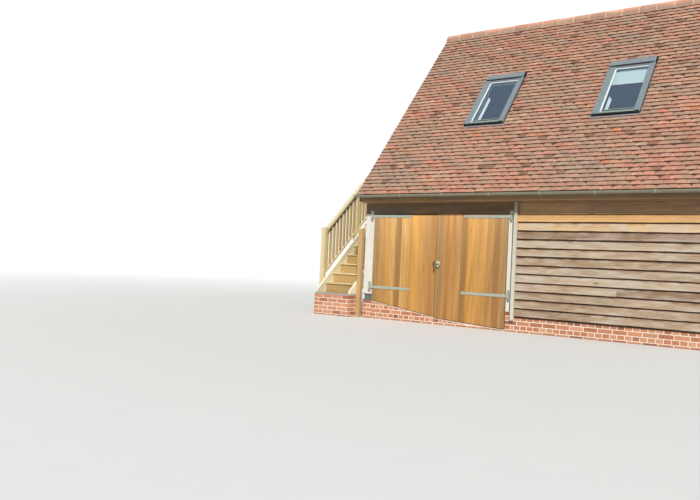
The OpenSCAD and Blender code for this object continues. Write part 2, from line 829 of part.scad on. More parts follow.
module door_latch() color(zinc) placed()
  translate([meeting_x + meeting_gap / 2 + latch_edge, -leaf_out, latch_z]) {
    box([0, -latch_plate_t, -latch_h / 2], [latch_w, 0, latch_h / 2]);
    translate([latch_w / 2, 0, 0]) rotate([90, 0, 0]) cylinder(r = 11, h = 20);
    translate([latch_w / 2, -14, -latch_ring_r]) rotate([90, 0, 0])
      rotate_extrude() translate([latch_ring_r, 0]) circle(latch_bar_r);
  }

// Staple plate for the latch's bar, on the left leaf
module latch_keeper() color(zinc) placed()
  translate([meeting_x - meeting_gap / 2 - latch_edge, -leaf_out, latch_z]) {
    box([-40, -latch_plate_t, -latch_h / 2], [0, 0, latch_h / 2]);
    for (z = [-30, 22]) box([-28, -22, z], [-12, -latch_plate_t, z + 8]);
    box([-28, -22, -22], [-12, -16, 22]);
  }

// Stair

// Outline of a string in Y and Z
module string_outline() {
  slope = rise / going;
  top = nosing_z(0) + string_up;
  under = top - string_d / cos(climb);
  end_y = landing_y + nosing;
  polygon([
    [-string_foot, stair_ground_z],
    [(stair_ground_z - under) / slope, stair_ground_z],
    [end_y, under + slope * end_y],
    [end_y, top + slope * end_y],
    [-string_foot, top - slope * string_foot]
  ]);
}

// Treads between two planes of X, each running back under the riser above it
module tread_bars(x0, x1) for (i = [0 : risers_n - 2]) {
  z = stair_ground_z + (i + 1) * rise;
  y = stair_y + i * going;
  box([x0, y, z - tread_t], [x1, y + going + nosing + riser_t, z]);
}

// Risers between two planes of X, each from the tread below it to the tread above
module riser_bars(x0, x1) for (i = [0 : risers_n - 1]) {
  z0 = stair_ground_z + i * rise;
  y = stair_y + i * going + nosing;
  board_above = i < risers_n - 1 ? tread_t : floor_t;
  box([x0, y, z0], [x1, y + riser_t, z0 + rise - board_above]);
}

module outer_string() color(new_timber) placed() difference() {
  along_x(outer_string_x, outer_string_x + string_t) string_outline();
  housings();
}

module wall_string() color(new_timber) placed() difference() {
  along_x(wall_string_x, wall_string_x + string_t) string_outline();
  housings();
}

// The space that treads and risers fill in the strings' faces
module housings() {
  x0 = outer_string_x + string_t - housing;
  x1 = wall_string_x + housing;
  tread_bars(x0, x1);
  riser_bars(x0, x1);
}

module treads() color([0.80, 0.58, 0.36]) placed()
  tread_bars(outer_string_x + string_t - housing, wall_string_x + housing);

module risers() color([0.80, 0.58, 0.36]) placed()
  riser_bars(outer_string_x + string_t - housing, wall_string_x + housing);

// A newel with a bevelled top
module newel(x, y, top) translate([x, y, 0]) intersection() {
  along_x(0, newel_w) newel_outline(top);
  along_y(0, newel_w) newel_outline(top);
}

module newel_outline(top) polygon([
  [0, 0], [newel_w, 0], [newel_w, top - newel_bevel], [newel_w - newel_bevel, top],
  [newel_bevel, top], [0, top - newel_bevel]
]);

module outer_newels() color(new_timber) placed() {
  newel(outer_newel_x, 0, foot_newel_top);
  newel(outer_newel_x, mid_newel_y, mid_newel_top);
  newel(outer_newel_x, top_newel_y, top_newel_top);
  newel(outer_newel_x, end_newel_y, end_newel_top);
}

module wall_newels() color(new_timber) placed() {
  newel(wall_newel_x, 0, foot_newel_top);
  newel(wall_newel_x, top_newel_y, top_newel_top);
}

// A bar that climbs with the stair between two planes of Y; its section is a child, whose x is X
// and whose y points down from the line that lies a given height above the nosings
module raked(y0, y1, up) {
  long = building_d + roof_run;
  intersection() {
    translate([0, 0, nosing_z(0) + up]) rotate([climb - 90, 0, 0])
      translate([0, 0, -long / 2]) linear_extrude(long) children();
    box([-building_l, y0, 0], [building_l, y1, 2 * ridge_z]);
  }
}

// Section of the handrail, with its top at 0 and its upper edges rounded
module rail_section(x) {
  translate([x - rail_w / 2, rail_round]) square([rail_w, rail_t - rail_round]);
  translate([x - rail_w / 2 + rail_round, 0]) square([rail_w - 2 * rail_round, rail_t]);
  for (side = [-1, 1])
    translate([x + side * (rail_w / 2 - rail_round), rail_round]) circle(rail_round);
}

// Raked balustrade between two newels
module raked_panel(y0, y1) {
  raked(y0, y1, rail_up) rail_section(rail_x);
  raked(y0, y1, base_up) translate([rail_x - base_w / 2, 0]) square([base_w, base_t]);
  count = ceil((y1 - y0) / baluster_gap);
  pitch = (y1 - y0) / count;
  depth = rail_up - base_up;
  for (i = [0 : count - 1])
    intersection() {
      translate([rail_x - baluster_w / 2, y0 + (i + 0.5) * pitch - baluster_w / 2, 0])
        cube([baluster_w, baluster_w, 2 * ridge_z]);
      raked(y0, y1, rail_up - rail_t / 2)
        translate([rail_x - rail_w / 2, 0]) square([rail_w, (depth - rail_t / 2) * cos(climb)]);
    }
}

module flight_balustrade() color(new_timber) placed() {
  raked_panel(newel_w, mid_newel_y);
  difference() {
    raked_panel(mid_newel_y, top_newel_y);
    newel(outer_newel_x, mid_newel_y, mid_newel_top);
  }
}

module wall_handrail() color(new_timber) placed()
  raked(newel_w, top_newel_y, rail_up) rail_section(wall_rail_x);

// Landing

module landing_newel_space() {
  for (y = [top_newel_y, end_newel_y])
    box([outer_newel_x, y, 0], [outer_newel_x + newel_w, y + newel_w, 2 * loft_z]);
  box([wall_newel_x, top_newel_y, 0], [wall_newel_x + newel_w, top_newel_y + newel_w, 2 * loft_z]);
}

// Lines of the landing's frame: front and back faces of its joists, and its outer beam
frame_y = landing_y + nosing + riser_t;
frame_end_y = landing_y + landing_l - newel_w / 2 + landing_joist / 2;
beam_x = rail_x - landing_joist / 2;
joists_n = 4;

// The outer beam between the newels, and the ledger on the gable wall
module landing_beams() color(new_timber) placed() {
  box([beam_x, top_newel_y + newel_w, landing_under],
      [beam_x + landing_joist, end_newel_y, loft_z - floor_t]);
  box([-landing_joist, frame_y, landing_under], [0, frame_end_y, loft_z - floor_t]);
}

// Joists from the outer beam and newels to the ledger
module landing_joists() color(new_timber) placed() difference() {
  run = frame_end_y - landing_joist - frame_y;
  for (i = [0 : joists_n - 1]) {
    y = frame_y + i * run / (joists_n - 1);
    outer = i == 0 || i == joists_n - 1 ? outer_newel_x + newel_w : beam_x + landing_joist;
    box([outer, y, landing_under], [-landing_joist, y + landing_joist, loft_z - floor_t]);
  }
  landing_newel_space();
}

// The landing's boards, notched round the newels and the heads of the strings
module landing_deck() color([0.80, 0.60, 0.38]) placed() difference() {
  box([outer_newel_x, landing_y, loft_z - floor_t], [0, landing_y + landing_l, loft_z]);
  landing_newel_space();
  for (x = [outer_string_x, wall_string_x])
    box([x, landing_y - 1, 0], [x + string_t, landing_y + nosing, 2 * loft_z]);
  for (x = [outer_newel_x, wall_newel_x])
    box([x, landing_y - 1, 0], [x + newel_w, top_newel_y + 1, 2 * loft_z]);
}

// A level panel of balustrade of length l along X, from the origin
module level_panel(l) {
  top = landing_rail;
  base = base_up - 60;
  box([0, -rail_w / 2, top - rail_t], [l, rail_w / 2, top]);
  box([0, -base_w / 2, base - base_t], [l, base_w / 2, base]);
  count = ceil(l / baluster_gap);
  pitch = l / count;
  for (i = [0 : count - 1])
    box([(i + 0.5) * pitch - baluster_w / 2, -baluster_w / 2, base - base_t / 2],
        [(i + 0.5) * pitch + baluster_w / 2, baluster_w / 2, top - rail_t / 2]);
}

module landing_balustrade() color(new_timber) placed() {
  translate([rail_x, top_newel_y + newel_w, loft_z]) rotate(90)
    level_panel(end_newel_y - top_newel_y - newel_w);
  translate([outer_newel_x + newel_w, end_newel_y + newel_w / 2, loft_z])
    level_panel(-outer_newel_x - newel_w);
}

front_plinth();
back_plinth();
gable_plinths();
floor_slab();
stair_pad();
left_door_post();
right_door_post();
corner_posts();
post_shoe();
eaves_beams();
wall_plates();
floor_beam();
floor_joists();
loft_floor();
front_wall();
back_wall();
left_gable_wall();
right_gable_wall();
trim_boards();
front_roof();
back_roof();
bargeboards();
ridge_tiles();
eaves_boards();
front_gutter();
back_gutter();
roof_window_frames();
roof_window_covers();
roof_window_glass();
roof_window_flashings();
window_blind();
loft_door_frame();
loft_door();
left_door();
left_straps();
latch_keeper();
right_door();
right_straps();
door_latch();
hinge_hooks();
outer_string();
wall_string();
treads();
risers();
outer_newels();
wall_newels();
flight_balustrade();
wall_handrail();
landing_beams();
landing_joists();
landing_deck();
landing_balustrade();
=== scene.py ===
import math
import bmesh
import bpy
import numpy as np
from mathutils import Matrix, Vector


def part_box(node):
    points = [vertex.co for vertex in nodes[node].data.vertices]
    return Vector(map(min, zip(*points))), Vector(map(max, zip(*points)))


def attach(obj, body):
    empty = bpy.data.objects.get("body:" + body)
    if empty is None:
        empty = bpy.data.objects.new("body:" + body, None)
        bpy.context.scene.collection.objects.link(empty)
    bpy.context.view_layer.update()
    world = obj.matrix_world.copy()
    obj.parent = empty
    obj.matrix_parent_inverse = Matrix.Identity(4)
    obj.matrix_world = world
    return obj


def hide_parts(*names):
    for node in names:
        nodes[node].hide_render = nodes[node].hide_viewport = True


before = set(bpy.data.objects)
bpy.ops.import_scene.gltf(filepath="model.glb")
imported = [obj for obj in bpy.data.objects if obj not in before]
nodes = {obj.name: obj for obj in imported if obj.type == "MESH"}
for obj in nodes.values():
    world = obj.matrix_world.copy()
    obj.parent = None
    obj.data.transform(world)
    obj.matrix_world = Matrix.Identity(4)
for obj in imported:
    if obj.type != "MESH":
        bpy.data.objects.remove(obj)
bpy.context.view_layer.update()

# The building's own corner frame, in metres: X=0 is the left face of the left post, Y=0 the face
# of the front posts, Z=0 the lowest ground. Every piece is drawn in it and moved by the origin.
low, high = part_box("front_plinth")
ORIGIN = np.array([low.x, low.y, 0.0])
L = high.x - low.x
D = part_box("back_plinth")[1].y - low.y
POST, POST_D, BEAM_Z, BEAM_TOP = 0.203, 0.2, 1.98, 2.18
DOOR_W = 2.762
RIGHT_POST = POST + DOOR_W
BOARDS_X, BAY_END = RIGHT_POST + 0.173, L - 0.173
MEET = POST + DOOR_W / 2
LAP_Z, GAUGE, BOARD, THIN = 0.269, 0.1444, 0.030, 0.010
HIGH_LAP = LAP_Z + 2 * GAUGE
TRIM_W, TRIM_D = 0.058, 0.06
PLINTH, HIGH_PLINTH = 0.330, 0.580
PITCH = math.radians(50)
CP, SP = math.cos(PITCH), math.sin(PITCH)
EAVES_Z, EAVES_OVER, VERGE, ROOF_T = 2.340, 0.283, 0.045, 0.150
SOFFIT_Z, FASCIA_Y, FASCIA_T = EAVES_Z - 0.150, -0.243, 0.020
RIDGE_Y = D / 2
RIDGE_Z = EAVES_Z + (RIDGE_Y + EAVES_OVER) * math.tan(PITCH)
COURSES, TILES, TILE_REACH, TOP_REACH = 51, 39, 0.186, 0.075
COURSE = (RIDGE_Y + EAVES_OVER) / CP / COURSES
WIN_S, WIN_W, WIN_L, HOOD = 1.794, 0.800, 1.465, 0.125
WIN_XS = (L / 2 - 1.222, L / 2 + 1.222)
LOW_STRAP, HIGH_STRAP, PIN_X = 0.595, 1.940, 0.055
LOFT_Z = 2.375
LOFT_DOOR = (2.52, 3.38, LOFT_Z, 4.355)  # y0, y1, z0, z1


def rgb(*c):
    """An 8-bit colour as linear values."""
    return np.array([v / 255 / 12.92 if v <= 10 else ((v / 255 + 0.055) / 1.055) ** 2.4 for v in c])


def slope_z(y, h=0.0):
    """Height of the front slope at y, or of a line that stands h off it."""
    return EAVES_Z + (y + EAVES_OVER) * math.tan(PITCH) + h / CP


def on_slope(co, back=False):
    """Moves (x, distance up a slope, height off it) to the corner frame."""
    x, s, h = co.T
    y = -EAVES_OVER + s * CP - h * SP
    return np.c_[x, D - y if back else y, EAVES_Z + s * SP + h * CP]


def mirror(back):
    """Turns a y of the front into that of the back."""
    return (lambda y: D - y) if back else (lambda y: y)


def waves(rng, count, low, high):
    """A smooth random line: a sum of sines with wavelengths between low and high, about 1 high."""
    w = 2 * np.pi / rng.uniform(low, high, count)
    p = rng.uniform(0, 2 * np.pi, count)
    return lambda u: sum(np.sin(np.asarray(u, float) * a + b) for a, b in zip(w, p)) / count ** 0.5


# Meshes

def show(name, data):
    """A new object in the scene."""
    ob = bpy.data.objects.new(name, data)
    bpy.context.scene.collection.objects.link(ob)
    return ob


class Bag:
    """Many small solids that become one piece. Each vertex keeps its place along the grain and a colour."""

    def __init__(self, seed):
        self.rng = np.random.default_rng(seed)
        self.co, self.grain, self.tint, self.faces, self.mats, self.n = [], [], [], [], [], 0

    def add(self, co, faces, grain, tint=(1, 1, 1), mat=0, flip=False):
        co = np.asarray(co, float)
        self.co.append(co)
        self.grain.append(np.asarray(grain, float) + self.rng.uniform(0, 40, 3))
        self.tint.append(np.broadcast_to(np.asarray(tint, float), (len(co), 3)))
        self.faces += [tuple(self.n + i for i in (reversed(f) if flip else f)) for f in faces]
        self.mats += [mat] * len(faces)
        self.n += len(co)

    def lift(self):
        """Moves the last solid onto the front slope."""
        self.co[-1] = on_slope(self.co[-1])

    def make(self, name, slot, mats, node=None, body="building", smooth=None):
        """The piece itself; mats names its materials, node the CAD node that it replaces."""
        me = bpy.data.meshes.new(name)
        me.from_pydata((np.concatenate(self.co) + ORIGIN).tolist(), [], self.faces)
        for m in mats.split():
            me.materials.append(M[m])
        me.polygons.foreach_set("material_index", self.mats)
        tint = np.concatenate(self.tint)
        a = me.attributes.new("grain", "FLOAT_VECTOR", "POINT")
        a.data.foreach_set("vector", np.concatenate(self.grain).astype(np.float32).ravel())
        a = me.attributes.new("tint", "FLOAT_COLOR", "POINT")
        a.data.foreach_set("color", np.c_[tint, np.ones(len(tint))].astype(np.float32).ravel())
        me.update()
        ob = show(name, me)
        if smooth is not None:
            me.shade_smooth()
            me.set_sharp_from_angle(angle=math.radians(smooth))
        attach(ob, body)
        if node:
            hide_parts(node)
        return ob


def quads(rows, n, closed=False):
    """Faces between rows of n points each, which may close into rings."""
    return [(j * n + k, j * n + (k + 1) % n, (j + 1) * n + (k + 1) % n, (j + 1) * n + k)
            for j in range(rows - 1) for k in range(n if closed else n - 1)]


def tube(rows, n):
    """Faces of a closed tube with both its ends."""
    return quads(rows, n, True) + [tuple(range(n))[::-1], tuple(range((rows - 1) * n, rows * n))]


def box_template():
    """Corner signs, axis masks and outward faces of a box with all its edges bevelled."""
    signs = np.array([(x, y, z) for x in (-1, 1) for y in (-1, 1) for z in (-1, 1)])
    s, k = np.repeat(signs, 3, 0), np.tile(np.eye(3), (8, 1))
    at = {(tuple(c), a): i * 3 + a for i, c in enumerate(signs) for a in range(3)}
    faces = [[at[tuple(c), a] for a in range(3)] for c in signs]
    for a in range(3):
        b, c = (a + 1) % 3, (a + 2) % 3

        def corner(*signs_abc):
            v = [0, 0, 0]
            v[a], v[b], v[c] = signs_abc
            return tuple(v)

        for sa in (-1, 1):
            faces.append([at[corner(sa, sb, sc), a] for sb, sc in ((-1, -1), (1, -1), (1, 1), (-1, 1))])
            for sb in (-1, 1):
                v, w = corner(sa, sb, -1), corner(sa, sb, 1)
                faces.append([at[v, a], at[v, b], at[w, b], at[w, a]])
    co = s * (1 - 0.2) + s * k * 0.2
    out = []
    for f in faces:
        p = co[f]
        outward = np.cross(p[1] - p[0], p[2] - p[1]) @ p.mean(0) > 0
        out.append(tuple(f if outward else reversed(f)))
    return s, k, out


BOX_S, BOX_K, BOX_F = box_template()


def block(bag, low, high, bevel=0.003, along=None, tint=(1, 1, 1), mat=0, turn=None):
    """A box with bevelled edges between two corners; turn is a rotation about its middle."""
    low, high = np.minimum(low, high), np.maximum(low, high)
    mid, half = (low + high) / 2, (high - low) / 2
    bevel = min(bevel, *(half * 0.6))
    co = BOX_S * (half - bevel) + BOX_S * BOX_K * bevel
    a = int(np.argmax(half)) if along is None else along
    grain = co[:, [a, (a + 1) % 3, (a + 2) % 3]]
    if turn is not None:
        co = co @ np.asarray(turn).T
    bag.add(co + mid, BOX_F, grain, tint, mat)


def prism(bag, outline, axis, a0, a1, bevel=0.003, along=None, tint=(1, 1, 1), mat=0, segments=1):
    """An outline extruded along X, Y or Z between two planes, with bevelled edges."""
    bm = bmesh.new()
    make = {"x": lambda a, p: (a, p[0], p[1]), "y": lambda a, p: (p[0], a, p[1]),
            "z": lambda a, p: (p[0], p[1], a)}[axis]
    face = bm.faces.new([bm.verts.new(make(a0, p)) for p in outline])
    out = bmesh.ops.extrude_face_region(bm, geom=[face])
    step = Vector(make(a1 - a0, (0, 0)))
    moved = [v for v in out["geom"] if isinstance(v, bmesh.types.BMVert)]
    bmesh.ops.translate(bm, vec=step, verts=moved)
    bmesh.ops.recalc_face_normals(bm, faces=bm.faces)
    if bevel:
        edges = [e for e in bm.edges if e.calc_face_angle(0) > 0.3]
        bmesh.ops.bevel(bm, geom=edges, offset=bevel, segments=segments, affect="EDGES", clamp_overlap=True)
    bm.verts.index_update()
    co = np.array([v.co[:] for v in bm.verts])
    e1 = np.asarray(step if along is None else along, float)
    e1 = e1 / np.linalg.norm(e1)
    e2 = np.cross((0, 0, 1) if abs(e1[2]) < 0.9 else (0, 1, 0), e1)
    e2 /= np.linalg.norm(e2)
    grain = np.c_[co @ e1, co @ e2, co @ np.cross(e1, e2)]
    bag.add(co, [tuple(v.index for v in f.verts) for f in bm.faces], grain, tint, mat)
    bm.free()


def turned(bag, profile, centre, axis, steps=16, tint=(1, 1, 1), mat=0):
    """A lathe shape: profile is (radius, height) from the base up the axis."""
    axis = np.asarray(axis, float)
    e2 = np.cross((0, 0, 1) if abs(axis[2]) < 0.9 else (0, 1, 0), axis)
    e3 = np.cross(axis, e2)
    angles = [2 * math.pi * i / steps for i in range(steps)]
    co = np.array([np.asarray(centre) + axis * h + (e2 * math.cos(t) + e3 * math.sin(t)) * r
                   for r, h in profile for t in angles])
    bag.add(co, tube(len(profile), steps), co, tint, mat)


# Materials

def rgba(v):
    """A colour with its alpha; a socket passes as it is."""
    return (*v, 1) if isinstance(v, (tuple, np.ndarray)) else v


class Tree:
    """The node tree of a new material, or of a world."""

    def __init__(self, owner):
        self.owner = bpy.data.materials.new(owner) if isinstance(owner, str) else owner
        self.owner.use_nodes = True
        self.t = self.owner.node_tree
        self.t.nodes.clear()

    def add(self, kind, ins=None, **props):
        n = self.t.nodes.new("ShaderNode" + kind)
        for k, v in props.items():
            setattr(n, k, v)
        for k, v in (ins or {}).items():
            if isinstance(v, bpy.types.NodeSocket):
                self.t.links.new(v, n.inputs[k])
            else:
                n.inputs[k].default_value = v
        return n

    def attribute(self, name, out="Vector"):
        return self.add("Attribute", attribute_name=name).outputs[out]

    def coords(self, out="Object"):
        return self.add("TexCoord").outputs[out]

    def split(self, vec):
        return self.add("SeparateXYZ", {0: vec}).outputs

    def length(self, vec):
        return self.add("VectorMath", {0: vec}, operation="LENGTH").outputs[1]

    def stretch(self, vec, scale, move=(0, 0, 0)):
        return self.add("Mapping", {"Vector": vec, "Scale": scale, "Location": move}).outputs[0]

    def noise(self, vec, scale, detail=4.0, rough=0.55, bend=0.0):
        return self.add("TexNoise", {"Vector": vec, "Scale": scale, "Detail": detail, "Roughness": rough,
                                     "Distortion": bend}).outputs[0]

    def cells(self, vec, scale, out="Distance"):
        return self.add("TexVoronoi", {"Vector": vec, "Scale": scale}).outputs[out]

    def bands(self, vec, direction, **ins):
        return self.add("TexWave", {"Vector": vec, **ins}, bands_direction=direction).outputs[1]

    def remap(self, v, a, b, c=0.0, d=1.0):
        return self.add("MapRange", {"Value": v, 1: a, 2: b, 3: c, 4: d}).outputs[0]

    def math(self, kind, a, b=0.5):
        return self.add("Math", {0: a, 1: b}, operation=kind).outputs[0]

    def total(self, *parts):
        """A weighted sum of (socket, weight) pairs."""
        sums = [self.math("MULTIPLY", v, w) for v, w in parts]
        out = sums[0]
        for v in sums[1:]:
            out = self.math("ADD", out, v)
        return out

    def mix(self, fac, a, b, kind="MIX"):
        return self.add("Mix", {0: fac, 6: rgba(a), 7: rgba(b)}, data_type="RGBA", blend_type=kind).outputs[2]

    def ramp(self, v, *stops):
        n = self.add("ValToRGB", {0: v})
        e = n.color_ramp.elements
        while len(e) < len(stops):
            e.new(0.5)
        for x, (p, c) in zip(e, stops):
            x.position, x.color = p, rgba(c)
        return n.outputs[0]

    def seen(self):
        """1 where a view ray ends, straight, mirrored or through glass, and 0 where light is gathered."""
        path = self.add("LightPath").outputs
        bent = self.math("MAXIMUM", path["Is Glossy Ray"], path["Is Transmission Ray"])
        return self.math("MAXIMUM", path["Is Camera Ray"], bent)

    def done(self, colour, rough, height, depth=0.001, strength=0.6, **shader):
        ins = {"Base Color": rgba(colour), "Roughness": rough, **shader}
        if height is not None:
            bump = self.add("Bump", {"Height": height, "Distance": depth, "Strength": strength})
            ins["Normal"] = bump.outputs[0]
        self.add("OutputMaterial", {0: self.add("BsdfPrincipled", ins).outputs[0]})
        return self.owner


def wood(name, base=None, axis="x", dark=0.62, knots=0.6, grey=None, grey_share=0.0, stain=0.0,
         rough=0.72, depth=0.0012, run=None, patchy=False):
    """Sawn timber: fine fibres, growth rings, knots, and grey or stained weather over them."""
    m = Tree(name)
    if base is None:
        vec, colour = m.attribute("grain"), m.attribute("tint", "Color")
    else:
        vec, colour = m.coords(), base
        if axis == "y":
            x, y, z = m.split(vec)
            vec = m.add("CombineXYZ", {0: y, 1: z, 2: x}).outputs[0]
    fine = m.noise(m.stretch(vec, (5, 150, 150)), 1.0, 4, 0.6)
    broad = m.noise(m.stretch(vec, (1.3, 15, 15)), 1.0, 3, 0.55)
    rings = m.bands(m.stretch(vec, (0.7, 11, 11)), "Y",
                    **{"Scale": 1.0, "Distortion": 9.0, "Detail": 2.0, "Detail Scale": 0.5})
    g = m.total((fine, 0.45), (broad, 0.35), (rings, 0.2))
    shades = m.ramp(g, (0.28, (dark, dark * 0.93, dark * 0.86)), (0.5, (0.86, 0.85, 0.83)), (0.72, (1, 1, 1)))
    colour = m.mix(1.0, colour, shades, "MULTIPLY")
    spot = m.cells(m.stretch(vec, (1.5, 5.5, 0.7)), 1.0)
    colour = m.mix(m.remap(spot, 0.03, 0.10, knots, 0.0), colour, (0.11, 0.055, 0.025))
    if stain:
        size, top = ((3.4, 13, 13), 0.70) if patchy else ((2.2, 7, 7), 0.72)
        blot = m.remap(m.noise(m.stretch(vec, size, (7, 3, 1)), 1.0, 3, 0.6), 0.52, top, 0.0, stain)
        colour = m.mix(blot, colour, (0.30, 0.13, 0.06))
    if grey is not None:
        cloud = m.noise(m.stretch(vec, (2.2, 11, 11) if patchy else (0.9, 5, 5), (3, 9, 2)), 1.0, 4, 0.65)
        share = m.remap(cloud, 0.40 if patchy else 0.36, 0.64, 0.0, grey_share)
        if patchy:  # no grey in the shade under a lap
            dim = m.add("RGBToBW", {0: m.attribute("tint", "Color")}).outputs[0]
            share = m.math("MULTIPLY", share, m.remap(dim, 0.10, 0.30))
        colour = m.mix(share, colour, m.mix(fine, grey * 0.6, grey))
    if run:
        x, z, wide, tall = run
        at = m.stretch(m.coords(), (1 / wide, 0, 1 / tall), (-x / wide, 0, -z / tall))
        far = m.math("ADD", m.length(at), m.remap(broad, 0.3, 0.7, -0.35, 0.35))
        colour = m.mix(m.remap(far, 0.5, 1.1, 0.85, 0.0), colour, (0.10, 0.035, 0.008))
    h = m.total((fine, 1.0), (spot, 0.2))
    return m.done(colour, m.remap(fine, 0.3, 0.7, rough + 0.1, rough - 0.08), h, depth, 0.5)


def mineral(name, colour=None, dark=0.7, lichen=0.0, depth=0.0015, lichen_tint=(0.52, 0.50, 0.36)):
    """Fired clay, mortar or concrete: grit, mottling and patches of lichen."""
    m = Tree(name)
    vec = m.coords()
    colour = m.attribute("tint", "Color") if colour is None else colour
    grit, cloud = m.noise(vec, 260, 3, 0.7), m.noise(vec, 22, 5, 0.65, 0.4)
    g = m.total((grit, 0.4), (cloud, 0.6))
    shades = m.ramp(g, (0.3, (dark, dark * 0.97, dark * 0.95)), (0.52, (0.9, 0.89, 0.88)), (0.7, (1, 1, 1)))
    colour = m.mix(1.0, colour, shades, "MULTIPLY")
    if lichen:
        grown = m.remap(m.noise(vec, 5, 6, 0.7), 0.5, 0.66, 0.0, lichen)
        spots = m.remap(m.remap(m.cells(vec, 38), 0.10, 0.30, 1.0, 0.0), 0.0, 1.0, 0.35, 1.0)
        colour = m.mix(m.math("MULTIPLY", grown, spots), colour, lichen_tint)
    return m.done(colour, m.remap(cloud, 0.3, 0.7, 0.82, 0.96), g, depth)


def metal(name, colour, metallic, rough, spangle, dirt_share=0.35, dirt=(0.10, 0.085, 0.06)):
    """Galvanised or painted sheet: a faint crystal pattern, scuffs and dull dirt."""
    m = Tree(name)
    vec = m.coords()
    patch, streak = m.noise(vec, 9, 6, 0.7), m.noise(m.stretch(vec, (60, 60, 7)), 1.0, 4, 0.6)
    tone = m.mix(spangle, colour, m.cells(vec, 70, "Color"), "SOFT_LIGHT")
    tone = m.mix(m.remap(m.total((patch, 0.7), (streak, 0.3)), 0.5, 0.72, 0.0, dirt_share), tone, dirt)
    return m.done(tone, m.remap(patch, 0.3, 0.7, rough - 0.08, rough + 0.2), m.noise(vec, 160, 3, 0.6),
                  0.0004, 0.4, Metallic=metallic)


def painted(name, colour, rough=0.45):
    m = Tree(name)
    vec = m.coords()
    n = m.noise(vec, 60, 4, 0.6)
    return m.done(m.mix(n, colour * 0.9, colour), m.remap(n, 0.3, 0.7, rough - 0.05, rough + 0.1),
                  m.noise(m.stretch(vec, (200, 30, 30)), 1.0, 3), 0.0003, 0.3)


# The dark stain on the left leaf, below the latch: its middle's x and z, half its width and height
LATCH_STAIN = (ORIGIN[0] + MEET - 0.032, 0.985, 0.024, 0.085)
M = {
    "tile": mineral("tile_clay", dark=0.76, lichen=0.16),
    "ridge": mineral("ridge_clay", dark=0.76, lichen=0.35, lichen_tint=(0.40, 0.34, 0.22)),
    "brick": mineral("fired_brick", dark=0.68, depth=0.0025),
    "mortar": mineral("lime_mortar", rgb(250, 238, 218), 0.84, depth=0.003),
    "bedding": mineral("roof_mortar", rgb(226, 206, 184), depth=0.003),
    "bed_shade": mineral("shaded_mortar", rgb(120, 92, 72), depth=0.003),
    "concrete": mineral("slab_concrete", rgb(178, 172, 162), 0.75, depth=0.002),
    "board": wood("weatherboard_oak", dark=0.58, knots=0.7, grey=rgb(226, 214, 196), grey_share=0.66,
                  stain=0.34, depth=0.0016, patchy=True),
    "new_board": wood("new_weatherboard_oak", dark=0.66, knots=0.3, stain=0.15, depth=0.0014),
    "post": wood("silvered_oak", dark=0.80, knots=0.3, grey=rgb(240, 237, 230), grey_share=0.55,
                 depth=0.0016),
    "beam": wood("shaded_oak", dark=0.5, knots=0.7, grey=rgb(120, 110, 98), grey_share=0.5, stain=0.5,
                 depth=0.002),
    "door": wood("door_oak", dark=0.78, knots=0.35, stain=0.18, depth=0.0006, rough=0.62, run=LATCH_STAIN),
    "new": wood("new_softwood", dark=0.76, knots=0.5, depth=0.0008, rough=0.62),
    "tread": wood("tread_softwood", dark=0.72, knots=0.5, depth=0.0008, rough=0.62),
    "joist": wood("joist_softwood", rgb(206, 174, 128), "y", dark=0.74, depth=0.001),
    "inner": wood("inner_board", rgb(186, 160, 126), dark=0.7, depth=0.001),
    # name, colour, metallic, roughness, crystal pattern, share and colour of the dirt
    "zinc": metal("zinc_steel", rgb(177, 183, 168), 0.3, 0.48, 0.30, 0.15),
    "gutter": metal("gutter_zinc", rgb(140, 136, 116), 0.2, 0.55, 0.12),
    "clip": metal("gutter_clip", rgb(158, 162, 150), 0.3, 0.45, 0.2, 0.2),
    "cover": metal("window_cover", rgb(126, 139, 146), 0.25, 0.5, 0.08, 0.2),
    "rail": metal("window_rail", rgb(140, 156, 148), 0.2, 0.45, 0.08, 0.2),
    # Coloured as bright as a sunlit sash side: partly painted light
    "bead": metal("window_bead", rgb(222, 238, 236), 0.1, 0.4, 0.06, 0.1),
    "head_bead": metal("window_head_bead", rgb(188, 204, 206), 0.1, 0.4, 0.06, 0.1),
    "bar": metal("window_bar", rgb(118, 114, 128), 0.2, 0.5, 0.08, 0.2),
    # Black seal rubber, and also painted shade in dark strips round the windows
    "gasket": metal("window_gasket", rgb(14, 17, 20), 0.0, 0.75, 0.05, 0.05),
    "lead": metal("sheet_lead", rgb(156, 152, 158), 0.3, 0.55, 0.1, 0.3, (0.22, 0.21, 0.19)),
    "shoe": metal("shoe_steel", rgb(118, 126, 124), 0.4, 0.5, 0.2, 0.6, (0.10, 0.04, 0.02)),
    # Paint for the pale plates under the panes: a painted patch of sunlight
    "lining": painted("lining_paint", rgb(240, 250, 250), 0.5),
    "blind_bar": painted("blind_bar", rgb(240, 255, 252), 0.35),
}


def skin(mat, *names):
    """CAD nodes keep their shape and get a material."""
    for n in names:
        nodes[n].data.materials.clear()
        nodes[n].data.materials.append(mat)


# Roof

RED, BROWN, DUN = rgb(205, 143, 119), rgb(191, 150, 127), rgb(175, 150, 130)
ODD_TILES = (0.005, rgb(216, 142, 112)), (0.020, rgb(206, 168, 140)), (0.050, rgb(148, 110, 92))
# Painted shade for the tiles' tail faces, and a painted highlight for a few tail corners
TAIL_SHADE = np.array((0.26, 0.20, 0.17))
TAIL_HIGHLIGHT = (1.9, 1.95, 2.0)
# A tile is five rows of five points, with six more under its two sides
TILE_F = quads(5, 5) + [(0, 5, 10, 25), (25, 10, 15, 26), (26, 15, 20, 27), (4, 28, 14, 9), (28, 29, 19, 14),
                        (29, 30, 24, 19)]
TILE_SIDES = (10, 15, 20, 14, 19, 24)


